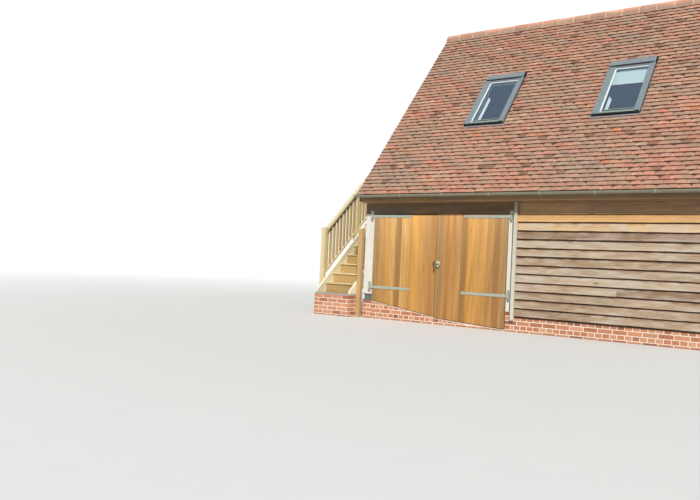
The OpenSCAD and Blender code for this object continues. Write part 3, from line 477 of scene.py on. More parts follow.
def tile_tone(rng, warm):
    """A tile's colour, from grey-brown to orange-red, with a few bright, pale and dark ones."""
    w = np.clip(warm + rng.normal(0, 0.17), 0, 1)
    tone = DUN * max(0, 1 - 2 * w) + BROWN * (1 - abs(2 * w - 1)) + RED * max(0, 2 * w - 1)
    odd = rng.random()
    tone = next((c for share, c in ODD_TILES if odd < share), tone)
    return tone * rng.uniform(0.86, 1.12) * (1 + rng.normal(0, 0.02, 3))


def tile_spans(xa, xb, s0, head, windows):
    """What the windows leave of a tile: its spans, its head, and whether it may be lifted."""
    spans, free = [(xa, xb)], 1.0
    for w in windows:
        wa, wb = w - WIN_W / 2 - 0.006, w + WIN_W / 2 + 0.006
        if xb < wa or xa > wb:
            continue
        if s0 + 0.035 > WIN_S and s0 < WIN_S + WIN_L + 0.015:
            spans = [(p, q) for p, q in ((xa, min(xb, wa)), (max(xa, wb), xb)) if q - p > 0.012]
        elif s0 < WIN_S and head > WIN_S - 0.004:
            head = WIN_S - 0.004
        if WIN_S - 0.13 < s0 < WIN_S:
            free = 0.0
    return spans, head, free


def lay_tiles(name, back, seed, windows=()):
    """Plain clay tiles in half bond, each one cambered and a little out of true, cut round the windows."""
    bag = Bag(seed)
    rng = bag.rng
    a, b, c = waves(rng, 3, 1.5, 5), waves(rng, 3, 1.2, 4), waves(rng, 4, 0.5, 1.4)
    x0, x1 = -VERGE - 0.001, L + VERGE + 0.001
    pitch, fall, t = (x1 - x0) / TILES, 0.0165 / COURSE, np.linspace(0, 1, 5)
    bonds = ([x0 + k * pitch for k in range(TILES + 1)],
             [x0] + [x0 + (k + 1.5) * pitch for k in range(TILES - 2)] + [x1])
    for i in range(COURSES):
        s0 = i * COURSE - 0.002
        row = rng.uniform(-0.12, 0.12)
        edges = bonds[i % 2]
        for xa, xb in zip(edges[:-1], edges[1:]):
            reach = TOP_REACH if i == COURSES - 1 else TILE_REACH
            spans, head, free = tile_spans(xa, xb, s0, s0 + reach, windows)
            for p, q in spans:
                m, kick = (p + q) / 2, rng.random()
                loose = abs(rng.normal(0, 0.0012)) + (rng.uniform(0.002, 0.006) if kick > 0.8 else 0)
                lift, tilt = 0.0052 + loose * free, rng.normal(0, 0.0012) * free
                tail = s0 + rng.normal(0, 0.0026)
                gap = rng.uniform(0.0008, 0.0022) + (rng.uniform(0.001, 0.003) if rng.random() < 0.25 else 0)
                pa = p + (gap if p > x0 + 0.01 else rng.uniform(-0.004, 0.004))
                qa = q - (gap if q < x1 - 0.01 else rng.uniform(-0.004, 0.004))
                camber, skew = rng.uniform(0.0006, 0.0022) * (0.5 + 0.5 * free), rng.normal(0, 0.0016)
                thick = rng.uniform(0.0165, 0.0190)
                bow = camber * (1 - (2 * t - 1) ** 2) - camber * 0.5
                co = []
                for d, h in ((0, -thick), (0, -0.0030), (0.0030, 0), ((head - tail) * 0.45, 0.0008),
                             (head - tail, 0)):
                    level = h + lift * (1 - d / 0.2) - (tail + d - i * COURSE) * fall + tilt * (t - 0.5) * 2
                    co.append(np.c_[pa + (qa - pa) * t + skew * d / 0.19, tail + d + skew * (t - 0.5) * 0.8,
                                    level + bow])
                top = np.concatenate(co)
                co = np.concatenate([top, top[list(TILE_SIDES)] - (0, 0, thick)])
                tone = tile_tone(rng, 0.5 + 0.34 * a(m) * b(tail * 1.1) + 0.2 * c(m + tail * 2) + row)
                tint = np.tile(tone, (len(co), 1))
                # The tail faces get painted shade, less on their upper row, and some tail corners get a
                # painted highlight
                tint[:10] *= TAIL_SHADE * rng.uniform(0.7, 1.3)
                tint[5:10] *= 1.5
                if rng.random() < 0.36:
                    tint[rng.choice((5, 9, 10, 14))] = tone * TAIL_HIGHLIGHT
                bag.add(on_slope(co, back), TILE_F, co, tint, flip=back)
    bag.make(name, "clay_tile", "tile")


lay_tiles("front_tiles", False, 11, WIN_XS)
lay_tiles("back_tiles", True, 12)


def roof_core():
    """What shows of the slopes between the tiles: shaded battens, the verges' mortar and the lining."""
    m = Tree("roof_core")
    x, y, z = m.split(m.coords("Normal"))
    vec = m.coords()
    cloud, grit = m.noise(vec, 12, 5, 0.6), m.noise(vec, 180, 3, 0.7)
    top = m.mix(cloud, rgb(70, 48, 38), rgb(112, 78, 60))
    verge = m.mix(cloud, rgb(150, 128, 108), rgb(196, 172, 146))
    lining = m.mix(cloud, rgb(92, 84, 74), rgb(116, 106, 94))
    colour = m.mix(m.remap(m.math("ABSOLUTE", x), 0.75, 0.9), top, verge)
    colour = m.mix(m.remap(z, -0.2, -0.4), colour, lining)
    return m.done(colour, m.remap(cloud, 0.3, 0.7, 0.95, 0.8), grit, 0.002, 0.5)


skin(roof_core(), "front_roof", "back_roof")

# Ridge tiles, bedded and pointed in mortar
bag = Bag(13)
rng = bag.rng
RIDGE_R, RIDGE_TILES, RIDGE_N = 0.120, 20, 17
CENTRE_Z = RIDGE_Z - 0.095
FOOT = slope_z(RIDGE_Y - RIDGE_R) - CENTRE_Z
# Painted sunlit tones for the ridge tiles' tops, and painted shade for their sides
RIDGE_SUNLIT_TONES = rgb(236, 160, 130), rgb(228, 150, 120), rgb(218, 160, 132), rgb(240, 176, 146)
RIDGE_SHADED_SIDES = rgb(189, 154, 134)


def ridge_profile(r):
    """A half-round with upright feet, as (y, z)."""
    turn = [math.pi * k / 14 for k in range(15)]
    arc = [(RIDGE_Y - r * math.cos(t), CENTRE_Z + r * math.sin(t)) for t in turn]
    return [(RIDGE_Y - r, CENTRE_Z + FOOT)] + arc + [(RIDGE_Y + r, CENTRE_Z + FOOT)]


def ridge_row(x, r, lean=0.0):
    p = np.array(ridge_profile(r))
    return np.c_[np.full(RIDGE_N, x), p[:, 0] + lean, p[:, 1]]


pitch = (L + 2 * VERGE) / RIDGE_TILES
faces = [(a, d, c, b) for a, b, c, d in quads(5, RIDGE_N)]
faces += [(85 + k, k, k + 1, 86 + k) for k in range(RIDGE_N - 1)]
faces += [(68 + k, 102 + k, 103 + k, 69 + k) for k in range(RIDGE_N - 1)]
for i in range(RIDGE_TILES):
    xa, xb = -VERGE + i * pitch + 0.008, -VERGE + (i + 1) * pitch - 0.008
    lean, drop = rng.normal(0, 0.0012), rng.uniform(0.0003, 0.004)
    rows = [ridge_row(x, RIDGE_R - inset - drop, lean * (1 if x == xa else -1)) for x, inset in
            ((xa, 0.0035), (xa + 0.004, 0.0), ((xa + xb) / 2, rng.uniform(0, 0.001)), (xb - 0.004, 0.0),
             (xb, 0.0035))]
    co = np.concatenate(rows + [ridge_row(x, RIDGE_R - 0.016) for x in (xa, xb)])
    # The upper part of each ridge tile is a brighter orange and its sides a duller brown: painted sunlight on
    # top, painted shade on the sides
    tone = RIDGE_SUNLIT_TONES[rng.integers(4)]
    up = np.clip((co[:, 2] - CENTRE_Z - 0.036 + rng.normal(0, 0.012, len(co))) / 0.03, 0, 1)[:, None]
    tint = (tone * up + RIDGE_SHADED_SIDES * (1 - up)) * rng.uniform(0.88, 1.1) * rng.uniform(0.86, 1.1, (len(co), 1))
    bag.add(co, faces, co, tint, flip=True)
prism(bag, ridge_profile(RIDGE_R - 0.0075), "x", -VERGE + 0.002, L + VERGE - 0.002, bevel=0, mat=1)
for side in (-1, 1):
    n = 130
    xs = np.linspace(-VERGE + 0.004, L + VERGE - 0.004, n)
    w = waves(rng, 5, 0.12, 0.9)
    out = 0.006 + 0.003 * w(xs)
    rows = []
    for k, (dy, dz) in enumerate(((0.0, 0.030), (0.55, 0.014), (1.0, -0.012), (0.4, -0.03))):
        y = RIDGE_Y + side * (RIDGE_R - 0.014 + out * dy)
        z = slope_z(RIDGE_Y - RIDGE_R + 0.014 - out * dy) + 0.004 + dz * (0.8 + 0.3 * w(xs + k))
        rows.append(np.c_[xs, y, z])
    co = np.concatenate(rows)
    bag.add(co, quads(4, n), co, mat=2, flip=side < 0)
bag.make("ridge_cover", "ridge_tile", "ridge bedding bed_shade", "ridge_tiles", smooth=35)


# Weatherboards

WEATHERED = [rgb(201, 180, 154), rgb(191, 168, 142), rgb(183, 158, 131), rgb(172, 147, 120),
             rgb(158, 132, 107)]
WEATHERED_SHARES = (0.24, 0.3, 0.24, 0.14, 0.08)
GOLDEN, PALE_GOLD = [rgb(234, 190, 130), rgb(228, 182, 122)], rgb(222, 190, 142)
FOOT_BOARD = rgb(160, 132, 104)
# The painted shadow under each board's lap, and a rusty brown stain above it
LAP_SHADOW, RUST = np.array((0.09, 0.055, 0.035)), np.array((0.80, 0.60, 0.45))


def lap_board(bag, put, u0, u1, z0, z1, tone, flip, lo=None, hi=None, mat=0, lap=1.0):
    """One feather-edged board with a wavy, worn lower edge and a painted highlight along it; lo and hi cut
    its ends to the roof.
    """
    rng = bag.rng
    n = max(3, int((u1 - u0) / 0.06) + 1)
    t = np.linspace(0, 1, n)
    edge, face, cup = waves(rng, 4, 0.25, 2.4), waves(rng, 4, 0.1, 0.9), rng.uniform(-0.001, 0.002)
    step, high = rng.uniform(-0.004, 0.004), z1 - z0
    rows, tints = [], []
    # How far a line of the face stands out and up, whether it is wavy, and its painted tone:
    # below 0 a painted highlight on the lower edge, 1 a rusty brown stain, 2 the painted shadow under a lap
    for out, dz, wavy, shade in (
            (0.006, 0, 1, 0.0), (BOARD, 0, 1, 0.0), (0.0038, 0.004, 1, -1.3), (0.0036 + cup, 0.026, 0, -0.1),
            (0.0030, high - 0.060 * lap, 0, 0.25), (0.0024, high - 0.038 * lap, 0, 0.8),
            (0.0020, high - 0.033 * lap, 0, 2.0), (0.0020, high, 0, 2.0)):
        z = z0 + np.clip(dz, 0, high)
        out += BOARD - (BOARD - THIN) * dz / GAUGE if dz > 0 else 0
        a = u0 if lo is None else max(u0, lo(z))
        b = u1 if hi is None else min(u1, hi(z))
        u = a + (b - a) * t
        w = np.clip(-0.0030 + 0.0022 * edge(u) + step, -0.012, 0.004) if wavy else 0.0
        rows.append(np.c_[u, out + 0.0005 * face(u + dz * 9), z + w + np.zeros(n)])
        m = np.clip(shade * (1 + (0.04 if shade > 1 else 0.6) * face(u * 1.7 + 5)), -1.4, 2)[:, None]
        tints.append(1 - 0.2 * np.minimum(m, 0) + (RUST - 1) * np.clip(m, 0, 1)
                     + (LAP_SHADOW - RUST) * np.clip(m - 1, 0, 1))
    k = len(rows)
    rows.append(rows[-1][[0, -1]] * (1, 0, 1))
    tints.append(tints[-1][[0, -1]])
    co = np.concatenate(rows)
    left, right = (tuple(j * n + i for j in range(k)) for i in (0, n - 1))
    ends = [left + (k * n,), (k * n + 1,) + right[::-1]]
    tint = tone * rng.uniform(0.9, 1.08) * (1 + rng.normal(0, 0.012, 3)) * np.concatenate(tints)
    bag.add(put(co), quads(k, n) + ends, co[:, [0, 2, 1]], tint, mat, flip)


def boarding(name, seed, put, flip, foot, top, span, golden=0, joints=None, hole=None):
    """A wall of lapped boards. span(z) gives the ends of a row; hole is (u0, u1, z0, z1)."""
    bag = Bag(seed)
    rng = bag.rng
    rows = int(math.ceil((top - foot) / GAUGE - 0.02))
    lo, hi = (lambda z: span(z)[0]), (lambda z: span(z)[1])
    for r in range(rows):
        z0 = foot + r * GAUGE
        z1 = min(z0 + GAUGE + 0.006, top)
        a, b = span(z0 + 0.002)
        if b - a < 0.12:
            break
        cuts = []
        if joints is None:
            u = a + rng.uniform(1.2, 3.6)
            while u < b - 0.7:
                cuts.append(u)
                u += rng.uniform(2.4, 3.9)
        else:
            cuts += joints.get(r, [])
        ends = [a] + cuts + [b]
        newest = golden and rows - r == 1
        for p, q in zip(ends[:-1], ends[1:]):
            tone = WEATHERED[rng.choice(5, p=WEATHERED_SHARES)]
            if rows - r <= golden:
                tone = GOLDEN[rng.integers(2)] if newest else PALE_GOLD
            if r == 0 and p == a:
                tone = FOOT_BOARD
            p, q = p + (0.0013 if p > a else 0), q - (0.0013 if q < b else 0)
            if hole and z0 < hole[3] and z1 > hole[2] and p < hole[1] and q > hole[0]:
                if p < hole[0] - 0.03:
                    lap_board(bag, put, p, hole[0] - 0.002, z0, z1, tone, flip, lo, None)
                if q > hole[1] + 0.03:
                    lap_board(bag, put, hole[1] + 0.002, q, z0, z1, tone, flip, None, hi)
                for za, zb in ((z0, hole[2]), (hole[3], z1)):
                    if zb - za > 0.02:
                        lap_board(bag, put, max(p, hole[0]), min(q, hole[1]), za, zb, tone, flip)
            else:
                lap_board(bag, put, p, q, z0, z1, tone, flip, lo, hi, 1 if newest else 0,
                          0.28 if z1 > top - 0.001 else 1.0)
    bag.make(name, "weatherboard", "board new_board")


def under_roof(z):
    """Both ends of a gable's row at a height, under the slopes."""
    y = (z - EAVES_Z + ROOF_T / CP) / math.tan(PITCH) - EAVES_OVER
    base = 0.2 if z < BEAM_TOP else 0.1
    return max(base, y), D - max(base, y)


FRONT_JOINTS = {0: [4.44], 2: [4.79], 3: [4.82], 10: [4.95]}
GABLE_TOP = 5.97
back_face = lambda c: np.c_[c[:, 0], D + c[:, 1], c[:, 2]]
boarding("front_boards", 21, lambda c: np.c_[c[:, 0], -c[:, 1], c[:, 2]], False, LAP_Z, BEAM_Z,
         lambda z: (BOARDS_X + 0.001, BAY_END - 0.001), golden=2, joints=FRONT_JOINTS)
boarding("back_boards_low", 22, back_face, True, LAP_Z, BEAM_Z,
         lambda z: (RIGHT_POST + POST + 0.001, L - TRIM_W - 0.001))
boarding("back_boards_high", 23, back_face, True, HIGH_LAP, BEAM_Z,
         lambda z: (TRIM_W + 0.001, RIGHT_POST + POST - 0.001))
boarding("right_gable_boards", 24, lambda c: np.c_[L - BOARD + c[:, 1], c[:, 0], c[:, 2]], False, LAP_Z,
         GABLE_TOP, under_roof)
boarding("left_gable_boards", 25, lambda c: np.c_[BOARD - c[:, 1], c[:, 0], c[:, 2]], True, HIGH_LAP,
         GABLE_TOP, under_roof, hole=LOFT_DOOR)


# Masonry

BRICKS = [rgb(210, 147, 114), rgb(202, 136, 102), rgb(216, 158, 125), rgb(194, 126, 94), rgb(182, 119, 93),
          rgb(160, 106, 87)]
BRICK_SHARES = (0.26, 0.25, 0.19, 0.14, 0.1, 0.06)
BRICK_L, BRICK_W, BRICK_H, CLOSER, JOINT, BRICK_COURSE = 0.215, 0.1025, 0.063, 0.0465, 0.012, 0.075


def brick(bag, low, high, top=None):
    rng = bag.rng
    tone = BRICKS[rng.choice(6, p=BRICK_SHARES)] * rng.uniform(0.9, 1.1)
    low, high = np.array(low, float), np.array(high, float)
    mid, half = (low + high) / 2, (high - low) / 2
    b = min(rng.uniform(0.002, 0.004), *(half * 0.5))
    co = BOX_S * (half - b) + BOX_S * BOX_K * b + mid - np.abs(rng.normal(0, 0.0006, (24, 3))) * BOX_S
    if top is not None:
        co[:, 2] = np.minimum(co[:, 2], top(co[:, 0]))
    bag.add(co, BOX_F, co, tone)


def brickwork(bag, u0, u1, v0, v1, z1, along="x", half=False, top=None):
    """English bond, or stretchers in a half-brick skin, laid from the top and cut at the ground."""
    def at(u, v, z):
        return (v, u, z) if along == "y" else (u, v, z)

    def shows(z, *us):
        return top is None or max(top(u) for u in us) > z + JOINT

    for k in range(int(math.ceil(z1 / BRICK_COURSE))):
        ch = z1 - k * BRICK_COURSE
        cl = max(0, ch - BRICK_H)
        if ch - cl < JOINT:
            continue
        header = k % 2 == 1 and not half
        rows = [(v0, v1)] if header or half else [(v0, v0 + BRICK_W), (v1 - BRICK_W, v1)]
        for va, vb in rows:
            u = u0
            while u < u1 - 0.02:
                e = min(u + (BRICK_W if header or (half and u == u0 and k % 2) else BRICK_L), u1)
                if u1 - e < 0.03:
                    e = u1
                if shows(cl, u, e):
                    brick(bag, at(u, va, cl), at(e, vb, ch), top)
                if header and u == u0:
                    a, b = e + JOINT, min(e + JOINT + CLOSER, u1)
                    if b - a > 0.02 and shows(cl, e):
                        brick(bag, at(a, va, cl), at(b, vb, ch), top)
                    e += JOINT + CLOSER
                u = e + JOINT
    a, b, c, d = u0 + 0.004, u1 - 0.004, v0 + 0.004, v1 - 0.004
    if top is None:
        block(bag, at(a, c, 0), at(b, d, z1 - 0.003), 0.002, mat=1)
    else:
        prism(bag, [(a, 0), (b, 0), (b, top(b)), (a, top(a))], "y", c, d, 0, mat=1)


def kerb(x):
    """The line of the raked kerb under the doors."""
    x = np.asarray(x, float)
    left = 0.333 + (x - POST) * (0.128 - 0.333) / (MEET - POST)
    right = 0.108 + (x - MEET) * (0.020 - 0.108) / (RIGHT_POST - MEET)
    return np.where(x < MEET, left, right)


bag = Bag(31)
brickwork(bag, 0, POST, 0, BRICK_L, 0.340)
brickwork(bag, RIGHT_POST, L, 0, BRICK_L, PLINTH)
for a, b in ((POST, MEET), (MEET, RIGHT_POST)):
    bed, e = 0.014, 1e-4
    brickwork(bag, a, b, 0.0, BRICK_L, 0.33, top=lambda x: kerb(np.clip(x, a + e, b - e)) - bed)
    za, zb = kerb(a + e), kerb(b - e)
    prism(bag, [(a, za - bed), (b, zb - bed), (b, zb), (a, za)], "y", 0.001, 0.214, mat=1)
# A dark strip along the brickwork under the lowest boards: painted shadow of the boards
block(bag, (BOARDS_X + 0.002, -0.013, LAP_Z - 0.030), (BAY_END - 0.002, 0.004, LAP_Z + 0.03), 0.002, 0,
      rgb(58, 42, 34))
bag.make("front_brickwork", "brick", "brick mortar", "front_plinth")
bag = Bag(32)
brickwork(bag, 0, RIGHT_POST + POST, D - BRICK_L, D, HIGH_PLINTH)
brickwork(bag, RIGHT_POST + POST, L, D - BRICK_L, D, PLINTH)
bag.make("back_brickwork", "brick", "brick mortar", "back_plinth")
bag = Bag(33)
brickwork(bag, BRICK_L, D - BRICK_L, BOARD, BOARD + BRICK_L, HIGH_PLINTH, "y")
brickwork(bag, BRICK_L, D - BRICK_L, L - BOARD - BRICK_L, L - BOARD, PLINTH, "y")
bag.make("gable_brickwork", "brick", "brick mortar", "gable_plinths")
bag = Bag(34)
lo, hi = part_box("stair_pad")
x0, x1, y0, y1 = lo.x - ORIGIN[0], hi.x - ORIGIN[0], lo.y - ORIGIN[1], hi.y - ORIGIN[1]
top = hi.z - 0.03
for a, b in ((y0, y0 + BRICK_W), (y1 - BRICK_W, y1)):
    brickwork(bag, x0, x1, a, b, top, half=True)
for a, b in ((x0, x0 + BRICK_W), (x1 - BRICK_W, x1)):
    brickwork(bag, y0 + BRICK_W + 0.01, y1 - BRICK_W - 0.01, a, b, top, "y", half=True)
block(bag, (x0, y0, hi.z - 0.032), (x1, y1, hi.z), 0.006, mat=2)
block(bag, (x0 + 0.05, y0 + 0.05, 0), (x1 - 0.05, y1 - 0.05, top), 0.002, mat=2)
bag.make("pad_brickwork", "brick", "brick mortar concrete", "stair_pad")
skin(M["concrete"], "floor_slab")


# Oak frame

def baulk(bag, low, high, axis, tint, bevel=0.005, wob=0.0012, step=0.16):
    """A sawn post or beam: bevelled corners and faces that wander a little, always inwards."""
    rng = bag.rng
    low, high = np.array(low, float), np.array(high, float)
    b, c = (axis + 1) % 3, (axis + 2) % 3
    long = high[axis] - low[axis]
    n = max(3, int(long / step) + 1)
    sect = []
    for sb, sc in ((0, 0), (1, 0), (1, 1), (0, 1)):
        pb, pc = (low[b], high[b])[sb], (low[c], high[c])[sc]
        pair = [(pb, pc + (bevel, -bevel)[sc]), (pb + (bevel, -bevel)[sb], pc)]
        sect += pair if sb == sc else pair[::-1]
    sect = np.array(sect)
    inwards = np.sign((low + high)[[b, c]] / 2 - sect)
    ts = np.concatenate([[0, bevel], np.linspace(0, long, n)[1:-1], [long - bevel, long]])
    lines = [waves(rng, 3, 0.3, 1.8) for _ in sect]
    rows = []
    for t in ts:
        shrink = bevel * 0.8 if t in (0, long) else 0
        wander = wob * (0.5 + 0.5 * np.array([np.clip(f(t), -1, 1) for f in lines]))
        p = sect + inwards * (shrink + wander)[:, None]
        co = np.empty((8, 3))
        co[:, axis], co[:, b], co[:, c] = low[axis] + t, p[:, 0], p[:, 1]
        rows.append(co)
    co = np.concatenate(rows)
    bag.add(co, tube(len(rows), 8), co[:, [axis, b, c]], tint * rng.uniform(0.95, 1.05))


SILVER, PALE, SHADE, TAN = rgb(238, 235, 226), rgb(218, 213, 196), rgb(128, 98, 62), rgb(190, 150, 104)
JOIN_X = RIGHT_POST + 0.1  # where the back beam's two lengths meet

bag = Bag(41)
baulk(bag, (0, 0, 0.460), (POST, POST_D, BEAM_Z), 2, SILVER)
bag.make("left_post", "silver_oak", "post", "left_door_post", smooth=30)
bag = Bag(42)
baulk(bag, (RIGHT_POST, 0, PLINTH), (RIGHT_POST + POST, POST_D, BEAM_Z), 2, SILVER)
# A dark sliver down the post beside the trim: painted shadow of the trim on the post
block(bag, (BOARDS_X - 0.101, -0.0008, 0.335), (BOARDS_X - 0.0585, 0.002, BEAM_Z - 0.002), 0.0003, 2,
      rgb(112, 112, 104))
bag.make("right_post", "silver_oak", "post", "right_door_post", smooth=30)
bag = Bag(43)
for x, y, z in ((L - POST, 0, PLINTH), (L - POST, D - POST_D, PLINTH), (RIGHT_POST, D - POST_D, HIGH_PLINTH),
                (0, D - POST_D, HIGH_PLINTH)):
    baulk(bag, (x, y, z), (x + POST, y + POST_D, BEAM_Z), 2, PALE)
bag.make("wall_posts", "silver_oak", "post", "corner_posts", smooth=30)
bag = Bag(44)
for x, y, z in ((BOARDS_X - TRIM_W, -TRIM_D, LAP_Z), (BAY_END, -TRIM_D, LAP_Z), (0, D, HIGH_LAP),
                (L - TRIM_W, D, LAP_Z)):
    baulk(bag, (x, y, z - 0.072), (x + TRIM_W, y + TRIM_D, SOFFIT_Z), 2, PALE * 0.98, 0.004, step=0.03)
    shaded = np.clip((bag.co[-1][:, 2:] - 1.955) / 0.03, 0, 1)
    bag.tint[-1] = bag.tint[-1] * (1 + (SHADE / PALE - 1) * 0.85 * shaded)
bag.make("end_trims", "silver_oak", "post", "trim_boards", smooth=30)
bag = Bag(45)
baulk(bag, (0, 0, BEAM_Z), (BOARDS_X + 0.001, POST_D, BEAM_TOP), 0, SHADE * 0.76, 0.006)
baulk(bag, (BOARDS_X + 0.001, 0, BEAM_Z), (L, POST_D, BEAM_TOP), 0, TAN * 0.85, 0.006)
# A pale strip along the beam's lower arris: painted highlight of sun on the edge
block(bag, (BOARDS_X + 0.002, -0.0012, BEAM_Z + 0.001), (BAY_END, 0.003, BEAM_Z + 0.013), 0.001, 0,
      rgb(250, 205, 140) * 1.3)
baulk(bag, (0, D - POST_D, BEAM_Z), (JOIN_X, D, BEAM_TOP), 0, SHADE * 1.1, 0.006)
baulk(bag, (JOIN_X, D - POST_D, BEAM_Z), (L, D, BEAM_TOP), 0, SHADE * 1.2, 0.006)
for x in (RIGHT_POST + 0.05, RIGHT_POST + 0.15, 0.05, 0.15, L - 0.05, L - 0.15):
    turned(bag, [(0.0105, 0), (0.0105, 0.003), (0.008, 0.005)], (x, 0.002, BEAM_Z + 0.05), (0, -1, 0), 10,
           SHADE * 0.9)
bag.make("beams", "shaded_oak", "beam", "eaves_beams", smooth=30)
for n, axis in (("wall_plates", "x"), ("floor_beam", "y")):
    skin(wood(n + "_oak", rgb(168, 140, 104), axis, dark=0.6, depth=0.0015), n)
skin(M["joist"], "floor_joists")
skin(wood("loft_boards", rgb(200, 168, 122), dark=0.68), "loft_floor")
skin(M["shoe"], "post_shoe")
skin(M["inner"], "front_wall", "back_wall", "left_gable_wall", "right_gable_wall")

# Bargeboards, fascia and soffit
bag = Bag(46)
BARGE_T = 0.022
foot_y, feet_z = FASCIA_Y + FASCIA_T, SOFFIT_Z + 0.0155
feet_y = (feet_z - EAVES_Z + ROOF_T / CP) / math.tan(PITCH) - EAVES_OVER
for x in (-BARGE_T, L):
    for back in (False, True):
        my = mirror(back)
        pts = [(my(y), z) for y, z in (
            (foot_y, slope_z(foot_y, -0.030) - 0.001), (RIDGE_Y, slope_z(RIDGE_Y, -0.030) - 0.001),
            (RIDGE_Y, slope_z(RIDGE_Y, -ROOF_T)), (feet_y, feet_z), (foot_y, feet_z))]
        prism(bag, pts, "x", x, x + BARGE_T, along=(0, -CP if back else CP, SP),
              tint=SHADE * bag.rng.uniform(1.15, 1.35))
bag.make("verge_boards", "shaded_oak", "beam", "bargeboards")
bag = Bag(47)
for back in (False, True):
    my = mirror(back)
    for xa, xb in ((0.03, 3.139), (3.141, L - 0.03)):
        tone = SHADE * bag.rng.uniform(1.26, 1.42) * (1, 0.99, 0.86)
        for ya, yb, z1 in ((FASCIA_Y, foot_y, slope_z(FASCIA_Y, -0.03) - 0.001),
                           (foot_y, 0.0, SOFFIT_Z + 0.015)):
            block(bag, (xa, my(ya), SOFFIT_Z), (xb, my(yb), z1), 0.003, 0, tone)
bag.make("fascia_soffit", "shaded_oak", "beam", "eaves_boards")


# Gutters

def gutter(wall):
    """A half-round gutter with a beaded lip, unions between its lengths, and clipped brackets."""
    bag = Bag(51)
    back = wall == "back"
    my = mirror(back)
    r, clip, n = 0.045, 0.028, 21
    yc, zc = FASCIA_Y - 0.004 - r, EAVES_Z - 0.025

    def ring(x0, x1, r, t, mat=0, start=0.0):
        a = np.linspace(start, math.pi, n)
        co = np.concatenate([np.c_[np.full(n, x), my(yc + rr * np.cos(a)), zc - rr * np.sin(a)]
                             for x in (x0, x1) for rr in (r, r - t)])
        faces = []
        for k in range(n - 1):
            faces += [(k, k + 1, 2 * n + k + 1, 2 * n + k), (n + k, 3 * n + k, 3 * n + k + 1, n + k + 1),
                      (k, n + k, n + k + 1, k + 1), (2 * n + k, 2 * n + k + 1, 3 * n + k + 1, 3 * n + k)]
        k = n - 1
        faces += [(0, 2 * n, 3 * n, n), (n + k, 3 * n + k, 2 * n + k, k)]
        bag.add(co, faces, co, mat=mat, flip=not back)

    def bracket_block(x0, x1, ya, yb, z0, z1, bevel):
        block(bag, (x0, my(ya), z0), (x1, my(yb), z1), bevel, mat=1)

    x0, x1 = -0.08, L + 0.08
    ring(x0, x1, r, 0.003)
    turned(bag, [(0.0045, 0), (0.0045, x1 - x0)], (x0, my(yc - r + 0.0045), zc), (1, 0, 0), 8)
    end = [(my(yc + r * math.cos(a)), zc - r * math.sin(a)) for a in np.linspace(0, math.pi, 17)]
    for x in (x0, x1 - 0.004):
        prism(bag, end, "x", x, x + 0.004, 0.0008)
    for x in (1.9, 3.9, 5.9):
        ring(x - 0.03, x + 0.03, r + 0.0025, 0.004)
    run = L - 0.06 - clip
    count = math.ceil(run / 0.9)
    for i in range(count + 1):
        x = 0.03 + i * run / count
        ring(x, x + clip, r + 0.0038, 0.0036, 1, 0.02)
        bracket_block(x, x + clip, FASCIA_Y - 0.004, FASCIA_Y, zc - r, zc + 0.010, 0.001)
        bracket_block(x + 0.002, x + 0.026, yc - r - 0.0036, yc - r + 0.014, zc - 0.004, zc + 0.0075, 0.002)
    bag.make(wall + "_guttering", "gutter_metal", "gutter clip", wall + "_gutter", smooth=40)


gutter("front")
gutter("back")


# Roof windows

# The black material is the seals' rubber, and painted shade in the dark strips under and over the hood, along
# the sides and between the rails and beads
WINDOW_MATS = "cover gasket rail bar bead head_bead"
COVER, GASKET_AND_SHADE, RAIL_M, BAR, BEAD, HEAD_BEAD = range(6)
SEAT = 0.0372  # just off the glass

